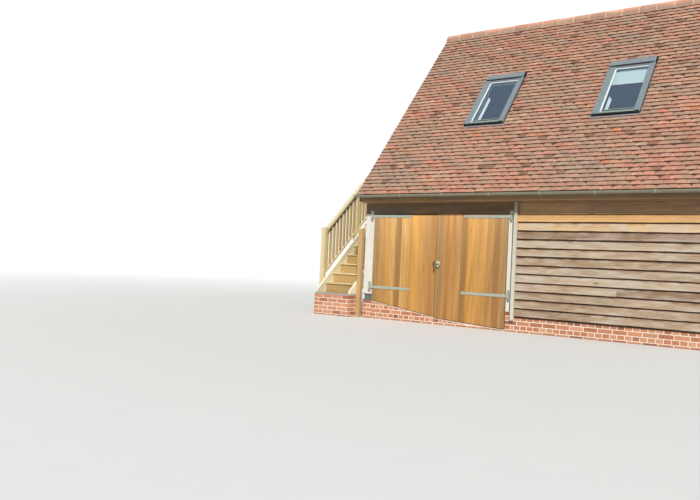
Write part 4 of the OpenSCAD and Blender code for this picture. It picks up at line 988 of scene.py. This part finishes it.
bag = Bag(61)
for w in WIN_XS:
    a, b, s0, s1 = w - 0.4, w + 0.4, WIN_S, WIN_S + WIN_L
    eave = s1 - HOOD
    p, q = a + 0.1245, b - 0.098  # the pane's rails and bars reach from p to q
    # Dark strips under and over the hood, down both sides and between the rails and beads are painted shade;
    # the bottom strip and corner caps are black seals
    for x0, x1, sa, sb, ha, hb, bevel, mat in (
            (a, a + 0.055, s0 + 0.012, eave + 0.03, 0.0375, 0.052, 0.005, COVER),
            (a + 0.0555, a + 0.124, s0 + 0.028, eave + 0.03, 0.0360, 0.048, 0.003, COVER),
            (b - 0.055, b, s0 + 0.012, eave + 0.03, 0.0375, 0.052, 0.005, COVER),
            (q, b - 0.0555, s0 + 0.028, eave + 0.03, 0.0360, 0.048, 0.003, COVER),
            # The pale bead at the left is a real bead coloured as bright as a sunlit sash side: partly
            # painted light
            (p, a + 0.156, s0 + 0.074, eave - 0.105, SEAT, 0.0405, 0.002, BEAD),
            (a + 0.1565, a + 0.162, s0 + 0.105, eave - 0.115, SEAT, 0.0385, 0.0005, GASKET_AND_SHADE),
            (a + 0.005, a + 0.040, s0 + 0.006, s0 + 0.036, 0.0, 0.0545, 0.004, GASKET_AND_SHADE),
            (b - 0.070, b - 0.005, s0 + 0.006, s0 + 0.040, 0.0, 0.0545, 0.004, GASKET_AND_SHADE),
            (a, a + 0.020, s0 + 0.012, s1 - 0.01, 0.0, 0.042, 0.003, COVER),
            (b - 0.020, b, s0 + 0.012, s1 - 0.01, 0.0, 0.042, 0.003, COVER),
            (a - 0.003, a + 0.002, s0 + 0.004, s1 + 0.004, -0.006, 0.014, 0.001, GASKET_AND_SHADE),
            (b - 0.002, b + 0.003, s0 + 0.004, s1 + 0.004, -0.006, 0.014, 0.001, GASKET_AND_SHADE),
            (p, q, s0 + 0.030, s0 + 0.074, SEAT, 0.048, 0.004, RAIL_M),
            (p, q, s0 + 0.0745, s0 + 0.105, SEAT, 0.0385, 0.0005, GASKET_AND_SHADE),
            (p, q, s0 + 0.1055, s0 + 0.122, SEAT, 0.041, 0.001, RAIL_M),
            (a + 0.001, b - 0.001, s0 + 0.0005, s0 + 0.0330, 0.0, 0.048, 0.006, GASKET_AND_SHADE),
            (a + 0.003, b - 0.036, eave - 0.020, eave + 0.030, SEAT, 0.0560, 0.002, GASKET_AND_SHADE),
            (p, q, eave - 0.066, eave - 0.0195, SEAT, 0.0475, 0.004, BAR),
            (p, q, eave - 0.106, eave - 0.0665, SEAT, 0.0410, 0.002, HEAD_BEAD),
            (p, q, eave - 0.113, eave - 0.1065, SEAT, 0.0380, 0.0005, GASKET_AND_SHADE),
            (a, b, eave + 0.004, s1, 0.0, 0.056, 0.006, GASKET_AND_SHADE),
            (a, b, eave, s1, 0.0535, 0.070, 0.007, COVER),
            (a + 0.020, b - 0.020, eave + 0.006, s1 - 0.020, 0.068, 0.0705, 0.001, COVER),
            (a - 0.010, b + 0.010, s1, s1 + 0.010, -0.004, 0.050, 0.002, GASKET_AND_SHADE)):
        block(bag, (x0, sa, ha), (x1, sb, hb), bevel, mat=mat)
        bag.lift()
    for x in (a + 0.028, b - 0.028):
        for s in (s0 + 0.10, s0 + 0.62, eave - 0.09):
            turned(bag, [(0.006, 0), (0.006, 0.0015), (0.003, 0.003)], (x, s, 0.0515), (0, 0, 1), 8, mat=1)
            bag.lift()
bag.make("window_covers", "window_metal", WINDOW_MATS, "roof_window_covers")


def lead_sheet(bag, xa, xb, sa, sb, nx, ns, over, ripple):
    """A sheet of lead dressed over the courses between two corners, nx by ns points."""
    X, S = np.meshgrid(np.linspace(xa, xb, nx), np.linspace(sa, sb, ns))
    dress = -(S - np.floor(S / COURSE + 1e-6) * COURSE) * 0.012 / COURSE
    f, g = waves(bag.rng, 4, 0.06, 0.4), waves(bag.rng, 3, 0.05, 0.3)
    H = dress * 0.8 + over + ripple * (f(X) * 0.5 + g(S + X * 0.3) * 0.5)
    co = np.c_[X.ravel(), S.ravel(), H.ravel()]
    at = np.arange(nx * ns).reshape(ns, nx)
    rim = np.concatenate([at[0], at[1:, -1], at[-1, -2::-1], at[-2:0:-1, 0]]).tolist()
    base, m = len(co), len(rim)
    faces = quads(ns, nx) + [(rim[i], base + i, base + (i + 1) % m, rim[(i + 1) % m]) for i in range(m)]
    co = np.concatenate([co, co[rim] - (0, 0, 0.0045)])
    bag.add(on_slope(co), faces, co)


bag = Bag(62)
top = WIN_S + WIN_L
for w in WIN_XS:
    a, b = w - 0.435, w + 0.435
    lead_sheet(bag, a, b, WIN_S - 0.030, WIN_S + 0.004, 60, 5, 0.0085, 0.0014)
    for xa, xb in ((a, w - 0.398), (w + 0.398, b)):
        lead_sheet(bag, xa, xb, WIN_S - 0.01, top + 0.034, 3, 64, -0.0035, 0.0004)
    lead_sheet(bag, w - 0.402, w + 0.402, top - 0.004, top + 0.034, 20, 4, -0.002, 0.0004)
bag.make("window_lead", "lead", "lead", "roof_window_flashings", smooth=50)

skin(painted("window_paint", rgb(236, 254, 246)), "roof_window_frames")
m = Tree("window_glass")
film = m.noise(m.coords(), 3.0, 4, 0.6)
skin(m.done(m.mix(film, rgb(132, 160, 196), rgb(144, 170, 204)), m.remap(film, 0.35, 0.7, 0.03, 0.09), None,
            Alpha=0.14, IOR=1.5), "roof_window_glass")

# Pale plates low at the left of each pane, just under the glass, with a slanted top: a painted patch of
# sunlight on the lining
bag = Bag(65)
for w, left, tall in ((WIN_XS[0], 0.214, 0.86), (WIN_XS[1], 0.174, 0.54)):
    x0, s0 = w - 0.4 + left, WIN_S + 0.118
    x1 = x0 + 0.060
    pts = [(x0, s0), (x1, s0), (x1, WIN_S + tall - 0.085), (x0, WIN_S + tall)]
    prism(bag, pts, "z", -0.012, -0.008, 0.0005)
    bag.lift()
bag.make("window_sunlit_patches", "window_timber", "lining")

# The right window's blind: cloth on a roller, with a bottom bar
bag = Bag(63)
wide, drop, h0 = 0.579, 0.4884, -0.007
x0, s_top = WIN_XS[1] - wide / 2, WIN_S + WIN_L / 2 + 1.256 / 2 - 0.014
nx, ns = 24, 20
X, S = np.meshgrid(np.linspace(x0, x0 + wide, nx), np.linspace(s_top, s_top - drop, ns))
f = waves(bag.rng, 3, 0.2, 0.7)
H = h0 + 0.0009 * f(X) * np.linspace(0.2, 1, ns)[:, None] + 0.0006 * f(S * 1.7)
co = np.c_[X.ravel(), S.ravel(), H.ravel()]
bag.add(co, [(a, d, c, b) for a, b, c, d in quads(ns, nx)], co)
bag.lift()
m = Tree("blind_cloth")
vec = m.attribute("grain")
weave = m.math("MULTIPLY", m.bands(vec, "X", Scale=240.0), m.bands(vec, "Y", Scale=240.0))
tone = m.mix(m.noise(vec, 8, 4), rgb(200, 226, 222), rgb(212, 236, 232))
M["cloth"] = m.done(m.mix(m.remap(weave, 0, 1, 0.12, 0.0), tone, rgb(190, 188, 176)),
                    m.remap(weave, 0, 1, 0.95, 0.8), weave, 0.0003, 0.4)
blind = bag.make("blind_cloth", "blind_cloth", "cloth", "window_blind", smooth=60)
bag = Bag(64)
for r, x, s, more, steps in ((0.0135, x0 - 0.005, s_top, 0.010, 20), (0.007, x0, s_top - drop, 0, 12)):
    profile = [(r - 0.001, 0), (r, 0.002), (r, wide + more - 0.002), (r - 0.001, wide + more)]
    turned(bag, profile, (x, s, h0), (1, 0, 0), steps)
    bag.lift()
rails = bag.make("blind_rails", "blind_cloth", "blind_bar", smooth=40)


# Garage doors

TONE = {"pale": rgb(227, 181, 110), "gold": rgb(230, 171, 88), "honey": rgb(220, 164, 92),
        "tan": rgb(210, 157, 94), "amber": rgb(202, 145, 83), "brown": rgb(181, 131, 77),
        "dull": rgb(187, 148, 96)}
LEFT_TONES = "dull tan honey pale brown pale honey gold honey tan amber".split()
RIGHT_TONES = "dull brown tan honey honey gold brown tan amber amber dull".split()
WORN_LOW, WORN_HIGH = np.array((0.83, 0.82, 0.74)), np.array((1.17, 1.24, 1.36))


def door_leaf(hand, tones, z_post, z_mid, z_top, seed):
    """A ledged and braced leaf of upright boards, drawn as the left one and mirrored for the right."""
    bag = Bag(seed)
    rng = bag.rng
    x0, wide, count, right = POST + 0.005, DOOR_W / 2 - 0.010, len(tones), hand == "right"
    side = (lambda x: 2 * MEET - x) if right else (lambda x: x)
    low = lambda x: z_post + (x - x0) / wide * (z_mid - z_post)
    for i, tone in enumerate(tones):
        xa, xb = x0 + i * wide / count + 0.0004, x0 + (i + 1) * wide / count - 0.0004
        sect = [(xa, -0.010), (xa, 0.0104), (xa + 0.0018, 0.0119)]
        sect += [(xa + (xb - xa) * f, 0.0120) for f in (0.2, 0.35, 0.5, 0.65, 0.8)]
        sect += [(xb - 0.0018, 0.0119), (xb, 0.0104), (xb, -0.010)]
        m, tall = len(sect), z_top - low(xa)
        levels = [0, 0.004, *np.linspace(0.1, tall - 0.05, 9), tall - 0.045, None]
        bow, cup = waves(rng, 2, 1.0, 2.5), rng.uniform(-0.0006, 0.0006)
        tone = TONE[tone] * rng.uniform(0.95, 1.05)
        lean, along, streak = rng.uniform(-0.08, 0.08), waves(rng, 3, 0.8, 2.6), rng.normal(0, 0.06, m)
        co, tint = [], []
        for t in levels:
            for k, (x, out) in enumerate(sect):
                z = z_top if t is None else low(x) + t * (z_top - low(x)) / tall
                o = out - (0.0004 + 0.0004 * bow(z) + (cup if k == 5 else 0)) if out > 0 else out
                co.append((side(x), -o, z))
                up = np.clip((z - 0.2) / 1.7, 0, 1) ** 3
                worn = WORN_LOW * (1 - up) + WORN_HIGH * up
                across = 1 + lean * (k - 5) / 5 + streak[k] + 0.09 * along(z + k * 0.15)
                tint.append(tone * worn * across * (1.07 if t is None or t >= tall - 0.046 else 1.0))
        co = np.array(co)
        bag.add(co, tube(len(levels), m), co[:, [2, 0, 1]], np.array(tint), flip=right)
    zs = [LOW_STRAP, (LOW_STRAP + HIGH_STRAP) / 2, HIGH_STRAP - 0.0375]
    end = x0 + wide
    for z in zs:
        block(bag, (side(x0 + 0.030), 0.0101, z - 0.075), (side(end - 0.030), 0.045, z + 0.045), 0.004, 0,
              TONE["tan"])
    for a, b in zip(zs[:-1], zs[1:]):
        pts = [(side(x), z) for x, z in ((x0 + 0.06, a + 0.03), (x0 + 0.21, a + 0.03), (end - 0.06, b - 0.06),
                                         (end - 0.21, b - 0.06))]
        prism(bag, pts, "y", 0.0105, 0.0445, 0.004, (side(1) - side(0), 0, (b - a) / wide), TONE["honey"])
    bag.make(hand + "_leaf_boards", "door_oak", "door", hand + "_door", hand + "_leaf")


door_leaf("left", LEFT_TONES, 0.345, 0.140, BEAM_Z - 0.015, 71)
door_leaf("right", RIGHT_TONES, 0.032, 0.120, BEAM_Z - 0.006, 72)

skin(M["zinc"], "left_straps", "right_straps", "hinge_hooks")
for n, colour, share in (("door_latch", rgb(206, 214, 196), 0.25), ("latch_keeper", rgb(150, 138, 116), 0.8)):
    m = Tree(n + "_metal")
    vec = m.coords()
    patch = m.noise(vec, 45, 5, 0.7)
    tone = m.mix(m.remap(patch, 0.42, 0.62, 0.0, share), colour, (0.085, 0.045, 0.02))
    back = m.remap(m.split(vec)[1], ORIGIN[1] - 0.0175, ORIGIN[1] - 0.0195, 0.0, 0.92)
    tone = m.mix(back, tone, (0.03, 0.022, 0.012))
    rough = m.remap(patch, 0.3, 0.7, 0.4, 0.75)
    skin(m.done(tone, rough, m.noise(vec, 220, 3, 0.6), 0.0004, 0.4, Metallic=0.3), n)
BOLT = [(0.0105, -0.001), (0.0100, 0.002), (0.0070, 0.0045), (0.002, 0.0056)]
for hand, sign, x in (("left", 1, POST - PIN_X), ("right", -1, RIGHT_POST + PIN_X)):
    bag = Bag(73)
    for z in (LOW_STRAP, HIGH_STRAP):
        for d in (0.105, 0.30, 0.52, 0.72, 0.868):
            turned(bag, BOLT, (x + sign * d, -0.020, z), (0, -1, 0), 14)
    bag.make(hand + "_strap_bolts", "zinc_steel", "zinc", body=hand + "_leaf", smooth=50)
bag = Bag(74)
for x in (POST - PIN_X, RIGHT_POST + PIN_X):
    for z in (LOW_STRAP, HIGH_STRAP):
        for dz in (-0.082, -0.064, 0.052, 0.082):
            turned(bag, [(0.009, -0.001), (0.009, 0.005), (0.0065, 0.0065)], (x, -0.006, z + dz),
                   (0, -1, 0), 6)
bag.make("hook_bolts", "zinc_steel", "shoe")
bag = Bag(75)
LATCH_X, LATCH_Z = MEET + 0.005 + 0.012, 1.085
for dx in (0.010, 0.060):
    for dz in (-0.040, 0.040):
        turned(bag, [(0.005, -0.001), (0.005, 0.001), (0.0025, 0.0026)], (LATCH_X + dx, -0.016, LATCH_Z + dz),
               (0, -1, 0), 10)
bag.make("latch_screws", "zinc_steel", "zinc", body="right_leaf", smooth=50)


# Loft door

bag = Bag(81)
y0, y1, z0, z1 = LOFT_DOOR
FRAME_T, WALL_IN = 0.04, 0.18
for ya, yb in ((y0, y0 + FRAME_T), (y1 - FRAME_T, y1)):
    block(bag, (0, ya, z0), (WALL_IN, yb, z1), 0.004, 2, rgb(206, 172, 122))
ya, yb = y0 + FRAME_T + 0.0005, y1 - FRAME_T - 0.0005
block(bag, (0, ya, z1 - FRAME_T), (WALL_IN, yb, z1), 0.004, 1, rgb(206, 172, 122))
block(bag, (0, ya, z0), (WALL_IN, yb, z0 + 0.025), 0.004, 1, rgb(196, 160, 112))
bag.make("loft_frame_boards", "new_timber", "new", "loft_door_frame")
bag = Bag(82)
ya, yb = y0 + 0.043, y1 - 0.043
LOFT_TONES = "tan honey brown honey gold tan brown".split()
for i, tone in enumerate(LOFT_TONES):
    a, b = ya + i * (yb - ya) / 7 + 0.001, ya + (i + 1) * (yb - ya) / 7 - 0.001
    block(bag, (0.025, a, z0 + 0.025), (0.047, b, z1 - 0.043), 0.0035, 2, TONE[tone] * 0.96)
for z in (z0 + 0.2, z0 + 1.0, z1 - 0.25):
    block(bag, (0.047, ya + 0.03, z - 0.06), (0.069, yb - 0.03, z + 0.06), 0.004, 1, TONE["tan"])
bag.make("loft_door_boards", "door_oak", "door", "loft_door")
bag = Bag(83)
for z in (z0 + 0.2, z1 - 0.25):
    strap = [(yb - 0.004, z - 0.020), (yb - 0.38, z - 0.009), (yb - 0.40, z), (yb - 0.38, z + 0.009),
             (yb - 0.004, z + 0.020)]
    prism(bag, strap, "x", 0.0195, 0.0252, 0.0012)
    turned(bag, [(0.009, 0), (0.009, 0.062)], (0.016, yb + 0.004, z - 0.031), (0, 0, 1), 12)
    for d in (0.05, 0.15, 0.25, 0.35):
        turned(bag, [(0.006, -0.001), (0.006, 0.001), (0.003, 0.003)], (0.0195, yb - d, z), (-1, 0, 0), 8)
block(bag, (0.0205, ya + 0.03, z0 + 0.98), (0.0252, ya + 0.075, z0 + 1.14), 0.0015)
turned(bag, [(0.007, 0), (0.007, 0.030)], (0.0215, ya + 0.052, z0 + 1.09), (-1, 0, 0), 12)
lever = [(ya + y, z0 + z) for y, z in
         ((0.044, 1.085), (0.145, 1.083), (0.15, 1.09), (0.145, 1.097), (0.044, 1.098))]
prism(bag, lever, "x", -0.009, 0.000, 0.002)
bag.make("loft_door_furniture", "zinc_steel", "zinc", smooth=40)


# Stair

RISE, GOING, STAIR_Y, GROUND = 0.195, 0.220, 0.050, 0.425
LAND_Y, LAND_L, NOSE, NEWEL = STAIR_Y + 9 * GOING, 1.570, 0.025, 0.090
TREAD_T, RISER_T = 0.025, 0.018
OUT_STRING, WALL_STRING, STRING_T, STRING_D = -1.0, -0.208, 0.038, 0.240
OUT_NEWEL, WALL_NEWEL, RAIL_X, WALL_RAIL = -1.09, -0.170, -1.045, -0.125
SLOPE = RISE / GOING
CLIMB = math.atan(SLOPE)
CC = math.cos(CLIMB)
UP = (0, CC, math.sin(CLIMB))
RAIL, RAIL_T, RAIL_W = 1.047, 0.060, 0.090  # height over the nosings, thickness and width
BASE, BASE_T, BASE_W, BAL, BAL_GAP = 0.192, 0.045, 0.062, 0.041, 0.110
STRAW, AMBER = rgb(236, 221, 174), rgb(194, 163, 110)


def nosing_z(y):
    return GROUND + RISE + (y - STAIR_Y) * RISE / GOING


def straw(bag, warm=0.0):
    """A new board's colour, from straw to amber."""
    r = bag.rng
    return (STRAW * (1 - warm) + AMBER * warm) * r.uniform(0.92, 1.06) * (1 + r.normal(0, 0.012, 3))


def newel(bag, x, y, top, shade=1.0):
    """A newel post with arrises just broken and a bevelled cap."""
    tone = straw(bag) * shade
    baulk(bag, (x, y, 0), (x + NEWEL, y + NEWEL, top - 0.0295), 2, tone, 0.0035, 0.0006)
    cx, cy = x + NEWEL / 2, y + NEWEL / 2
    co = np.array([(cx + sx * half, cy + sy * half, z) for half, z in
                   ((0.0446, top - 0.030), (0.0446, top - 0.0135), (0.0325, top - 0.0008), (0.0300, top))
                   for sx, sy in ((-1, -1), (1, -1), (1, 1), (-1, 1))])
    bag.add(co, quads(4, 4, True) + [(12, 13, 14, 15), (3, 2, 1, 0)], co[:, [2, 0, 1]],
            rgb(250, 244, 226) * 0.75 + tone * 0.25)


MID_Y, TOP_Y, END_Y = NEWEL + 0.980, LAND_Y + 0.010, LAND_Y + LAND_L - NEWEL
FOOT_NEWEL = (0, nosing_z(0.09) + RAIL + 0.025)
TOP_NEWEL = (TOP_Y, nosing_z(TOP_Y) + RAIL + 0.025)
bag = Bag(91)
for y, top in (FOOT_NEWEL, (MID_Y, nosing_z(MID_Y) + RAIL - RAIL_T / CC), TOP_NEWEL,
               (END_Y, LOFT_Z + 1.0 + 0.025)):
    newel(bag, OUT_NEWEL, y, top)
bag.make("outer_newel_posts", "new_timber", "new", "outer_newels", smooth=30)
bag = Bag(92)
for y, top in (FOOT_NEWEL, TOP_NEWEL):
    newel(bag, WALL_NEWEL, y, top, np.array((0.74, 0.57, 0.45)))
bag.make("wall_newel_posts", "new_timber", "new", "wall_newels", smooth=30)

top = nosing_z(0) + 0.076
under = top - STRING_D / CC
end_y = LAND_Y + NOSE
outline = [(-0.2, GROUND), ((GROUND - under) / SLOPE, GROUND), (end_y, under + SLOPE * end_y),
           (end_y, top + SLOPE * end_y), (-0.2, top - SLOPE * 0.2)]
for side, x, seed in (("outer", OUT_STRING, 93), ("wall", WALL_STRING, 94)):
    bag = Bag(seed)
    prism(bag, outline, "x", x, x + STRING_T, 0.003, UP, rgb(237, 231, 202), segments=2)
    co = bag.co[-1]
    lit = (top + SLOPE * co[:, 1] - co[:, 2])[:, None] * CC < 0.0025
    bag.tint[-1] = np.where(lit, rgb(255, 252, 240), bag.tint[-1])
    bag.make(side + "_string_board", "new_timber", "new", side + "_string")

bag = Bag(95)
xa, xb = OUT_STRING + 0.026, WALL_STRING + 0.012
for i in range(9):
    z, y = GROUND + (i + 1) * RISE, STAIR_Y + i * GOING
    ye = y + GOING + NOSE + RISER_T
    pts = [(y, z - TREAD_T), (ye, z - TREAD_T), (ye, z), (y, z)]
    prism(bag, pts, "x", xa, xb, 0.005, (1, 0, 0), straw(bag), segments=2)
bag.make("tread_boards", "tread_timber", "tread", "treads")
bag = Bag(96)
for i in range(10):
    z, y = GROUND + i * RISE, STAIR_Y + i * GOING + NOSE
    block(bag, (xa, y, z + 0.001), (xb, y + RISER_T, z + RISE - 0.0255), 0.001, 0, straw(bag, 1.0))
bag.make("riser_boards", "tread_timber", "tread", "risers")


def raked_rail(bag, x, wide, y0, y1, up, thick, bevel, tone, lit=False):
    """A rail between two y's whose top runs up above the nosings; lit pales its upper face."""
    pts = [(y, nosing_z(y) + up - down) for y, down in ((y0, thick / CC), (y1, thick / CC), (y1, 0), (y0, 0))]
    prism(bag, pts, "x", x - wide / 2, x + wide / 2, bevel, UP, tone, segments=3)
    if lit:
        co = bag.co[-1]
        above = (nosing_z(co[:, 1]) + up - co[:, 2])[:, None] * CC < bevel * 0.9
        bag.tint[-1] = np.where(above, rgb(234, 225, 194), bag.tint[-1])


def raked_panel(bag, y0, y1, clear):
    """Handrail, base rail and balusters between two newels, and a dark strip under the handrail as its
    painted shadow.
    """
    under = RAIL - RAIL_T / CC
    raked_rail(bag, RAIL_X, RAIL_W, y0, y1, RAIL, RAIL_T, 0.010, rgb(218, 202, 158), True)
    # A dark strip under the handrail: painted shadow
    raked_rail(bag, RAIL_X, RAIL_W - 0.010, y0, y1, under + 0.004, 0.026, 0.001, STRAW * 0.06)
    raked_rail(bag, RAIL_X, BASE_W, y0, y1, BASE, BASE_T, 0.004, straw(bag, 0.2), True)
    count = math.ceil((y1 - y0) / BAL_GAP)
    for i in range(count):
        y = y0 + (i + 0.5) * (y1 - y0) / count
        if y - BAL / 2 < clear:
            continue
        turn = Matrix.Rotation(bag.rng.normal(0, 0.006), 3, "Z")
        tone = straw(bag, bag.rng.uniform(0.5, 0.9)) * (0.93, 0.90, 0.74)
        block(bag, (RAIL_X - BAL / 2, y - BAL / 2, nosing_z(y) + BASE - 0.034),
              (RAIL_X + BAL / 2, y + BAL / 2, nosing_z(y) + under + 0.02), 0.0025, 2, tone, turn=turn)


bag = Bag(97)
raked_panel(bag, NEWEL, MID_Y, 0)
raked_panel(bag, MID_Y, TOP_Y, MID_Y + NEWEL)
bag.make("flight_rails", "new_timber", "new", "flight_balustrade")
bag = Bag(98)
raked_rail(bag, WALL_RAIL, RAIL_W, NEWEL, TOP_Y, RAIL, RAIL_T, 0.010, straw(bag, 0.2))
bag.make("wall_rail", "new_timber", "new", "wall_handrail")

bag = Bag(99)
# The landing's side and end rails: the axis that they run along, its ends, and where they stand across it
for axis, u0, u1, mid in ((1, TOP_Y + NEWEL, END_Y, RAIL_X), (0, OUT_NEWEL + NEWEL, 0, END_Y + 0.045)):
    def upright(u0, u1, wide, z0, z1, bevel, grain, tone):
        a, b = (u0, mid - wide / 2), (u1, mid + wide / 2)
        if axis:
            a, b = a[::-1], b[::-1]
        block(bag, (*a, LOFT_Z + z0), (*b, LOFT_Z + z1), bevel, grain, tone)

    upright(u0, u1, RAIL_W, 0.940, 1.0, 0.008, axis, straw(bag))
    upright(u0, u1, BASE_W, 0.087, 0.132, 0.004, axis, straw(bag))
    count = math.ceil((u1 - u0) / BAL_GAP)
    for i in range(count):
        u = u0 + (i + 0.5) * (u1 - u0) / count
        upright(u - BAL / 2, u + BAL / 2, BAL, 0.110, 0.960, 0.0025, 2, straw(bag, bag.rng.uniform(0, 0.3)))
bag.make("landing_rails", "new_timber", "new", "landing_balustrade")

bag = Bag(100)
DECK_BOARDS = 9
for i in range(DECK_BOARDS):
    a, b = (OUT_NEWEL + k * -OUT_NEWEL / DECK_BOARDS for k in (i, i + 1))
    y0 = LAND_Y if 0 < i < DECK_BOARDS - 1 else LAND_Y + 0.026
    block(bag, (a + 0.0015, y0, LOFT_Z - 0.025), (b - 0.0015, LAND_Y + LAND_L, LOFT_Z), 0.003, 1,
          straw(bag, 0.5))
bag.make("deck_boards", "tread_timber", "tread", "landing_deck")
for n, axis in (("landing_beams", "y"), ("landing_joists", "x")):
    skin(wood(n + "_timber", rgb(214, 182, 128), axis, dark=0.72, depth=0.001), n)


# Stage, light and camera

m = Tree("pale_floor")
at = m.coords()
far = m.math("MULTIPLY", m.remap(m.length(at), 9.0, 26.0), m.seen())
speck = m.mix(m.noise(at, 3.0, 4), (0.72, 0.72, 0.71), (0.76, 0.76, 0.75))
matte = m.add("BsdfPrincipled", {"Base Color": speck, "Roughness": 0.9})
glow = m.add("Emission", {"Color": (1, 1, 1, 1), "Strength": 1.0})
both = m.add("MixShader", {0: far, 1: matte.outputs[0], 2: glow.outputs[0]})
m.add("OutputMaterial", {0: both.outputs[0]})
bm = bmesh.new()
bmesh.ops.create_circle(bm, cap_ends=True, radius=60, segments=96)
me = bpy.data.meshes.new("stage_floor")
bm.to_mesh(me)
bm.free()
me.materials.append(m.owner)
floor = show("stage_floor", me)
floor.location = (0, 0, -0.002)

world = bpy.data.worlds.new("studio")
bpy.context.scene.world = world
m = Tree(world)
soft = m.add("Background", {0: (0.93, 0.96, 1.0, 1), 1: 0.40})
white = m.add("Background", {0: (1, 1, 1, 1), 1: 1.0})
both = m.add("MixShader", {0: m.seen(), 1: soft.outputs[0], 2: white.outputs[0]})
m.add("OutputWorld", {0: both.outputs[0]})

light = bpy.data.lights.new("key", "SUN")
light.energy, light.angle, light.color = 3.0, math.radians(2), (1.0, 0.98, 0.94)
# The light comes from an azimuth, measured from -Y towards -X, and a height
a, h = math.radians(-37), math.radians(39.5)
towards = Vector((-math.sin(a) * math.cos(h), -math.cos(a) * math.cos(h), math.sin(h)))
show("key", light).rotation_euler = towards.to_track_quat("Z", "Y").to_euler()

# The photograph's camera, as the straight edges give it
EYE = Vector((8.5331, -11.9611, 1.0444))
yaw, pitch, roll = (math.radians(v) for v in (36.6207, 0.9080, 2.6643))
fwd = Vector((-math.sin(yaw) * math.cos(pitch), math.cos(yaw) * math.cos(pitch), math.sin(pitch)))
right = Vector((math.cos(yaw), math.sin(yaw), 0))
up = right.cross(fwd)
r, u = right * math.cos(roll) + up * math.sin(roll), up * math.cos(roll) - right * math.sin(roll)
cam = bpy.data.cameras.new("camera")
cam.lens, cam.sensor_width, cam.clip_end = 39.23, 36, 200
camera = show("camera", cam)
camera.matrix_world = Matrix.Translation(EYE + Vector(ORIGIN)) @ Matrix((r, u, -fwd)).transposed().to_4x4()
bpy.context.scene.camera = camera
bpy.context.scene.view_settings.view_transform = "Standard"
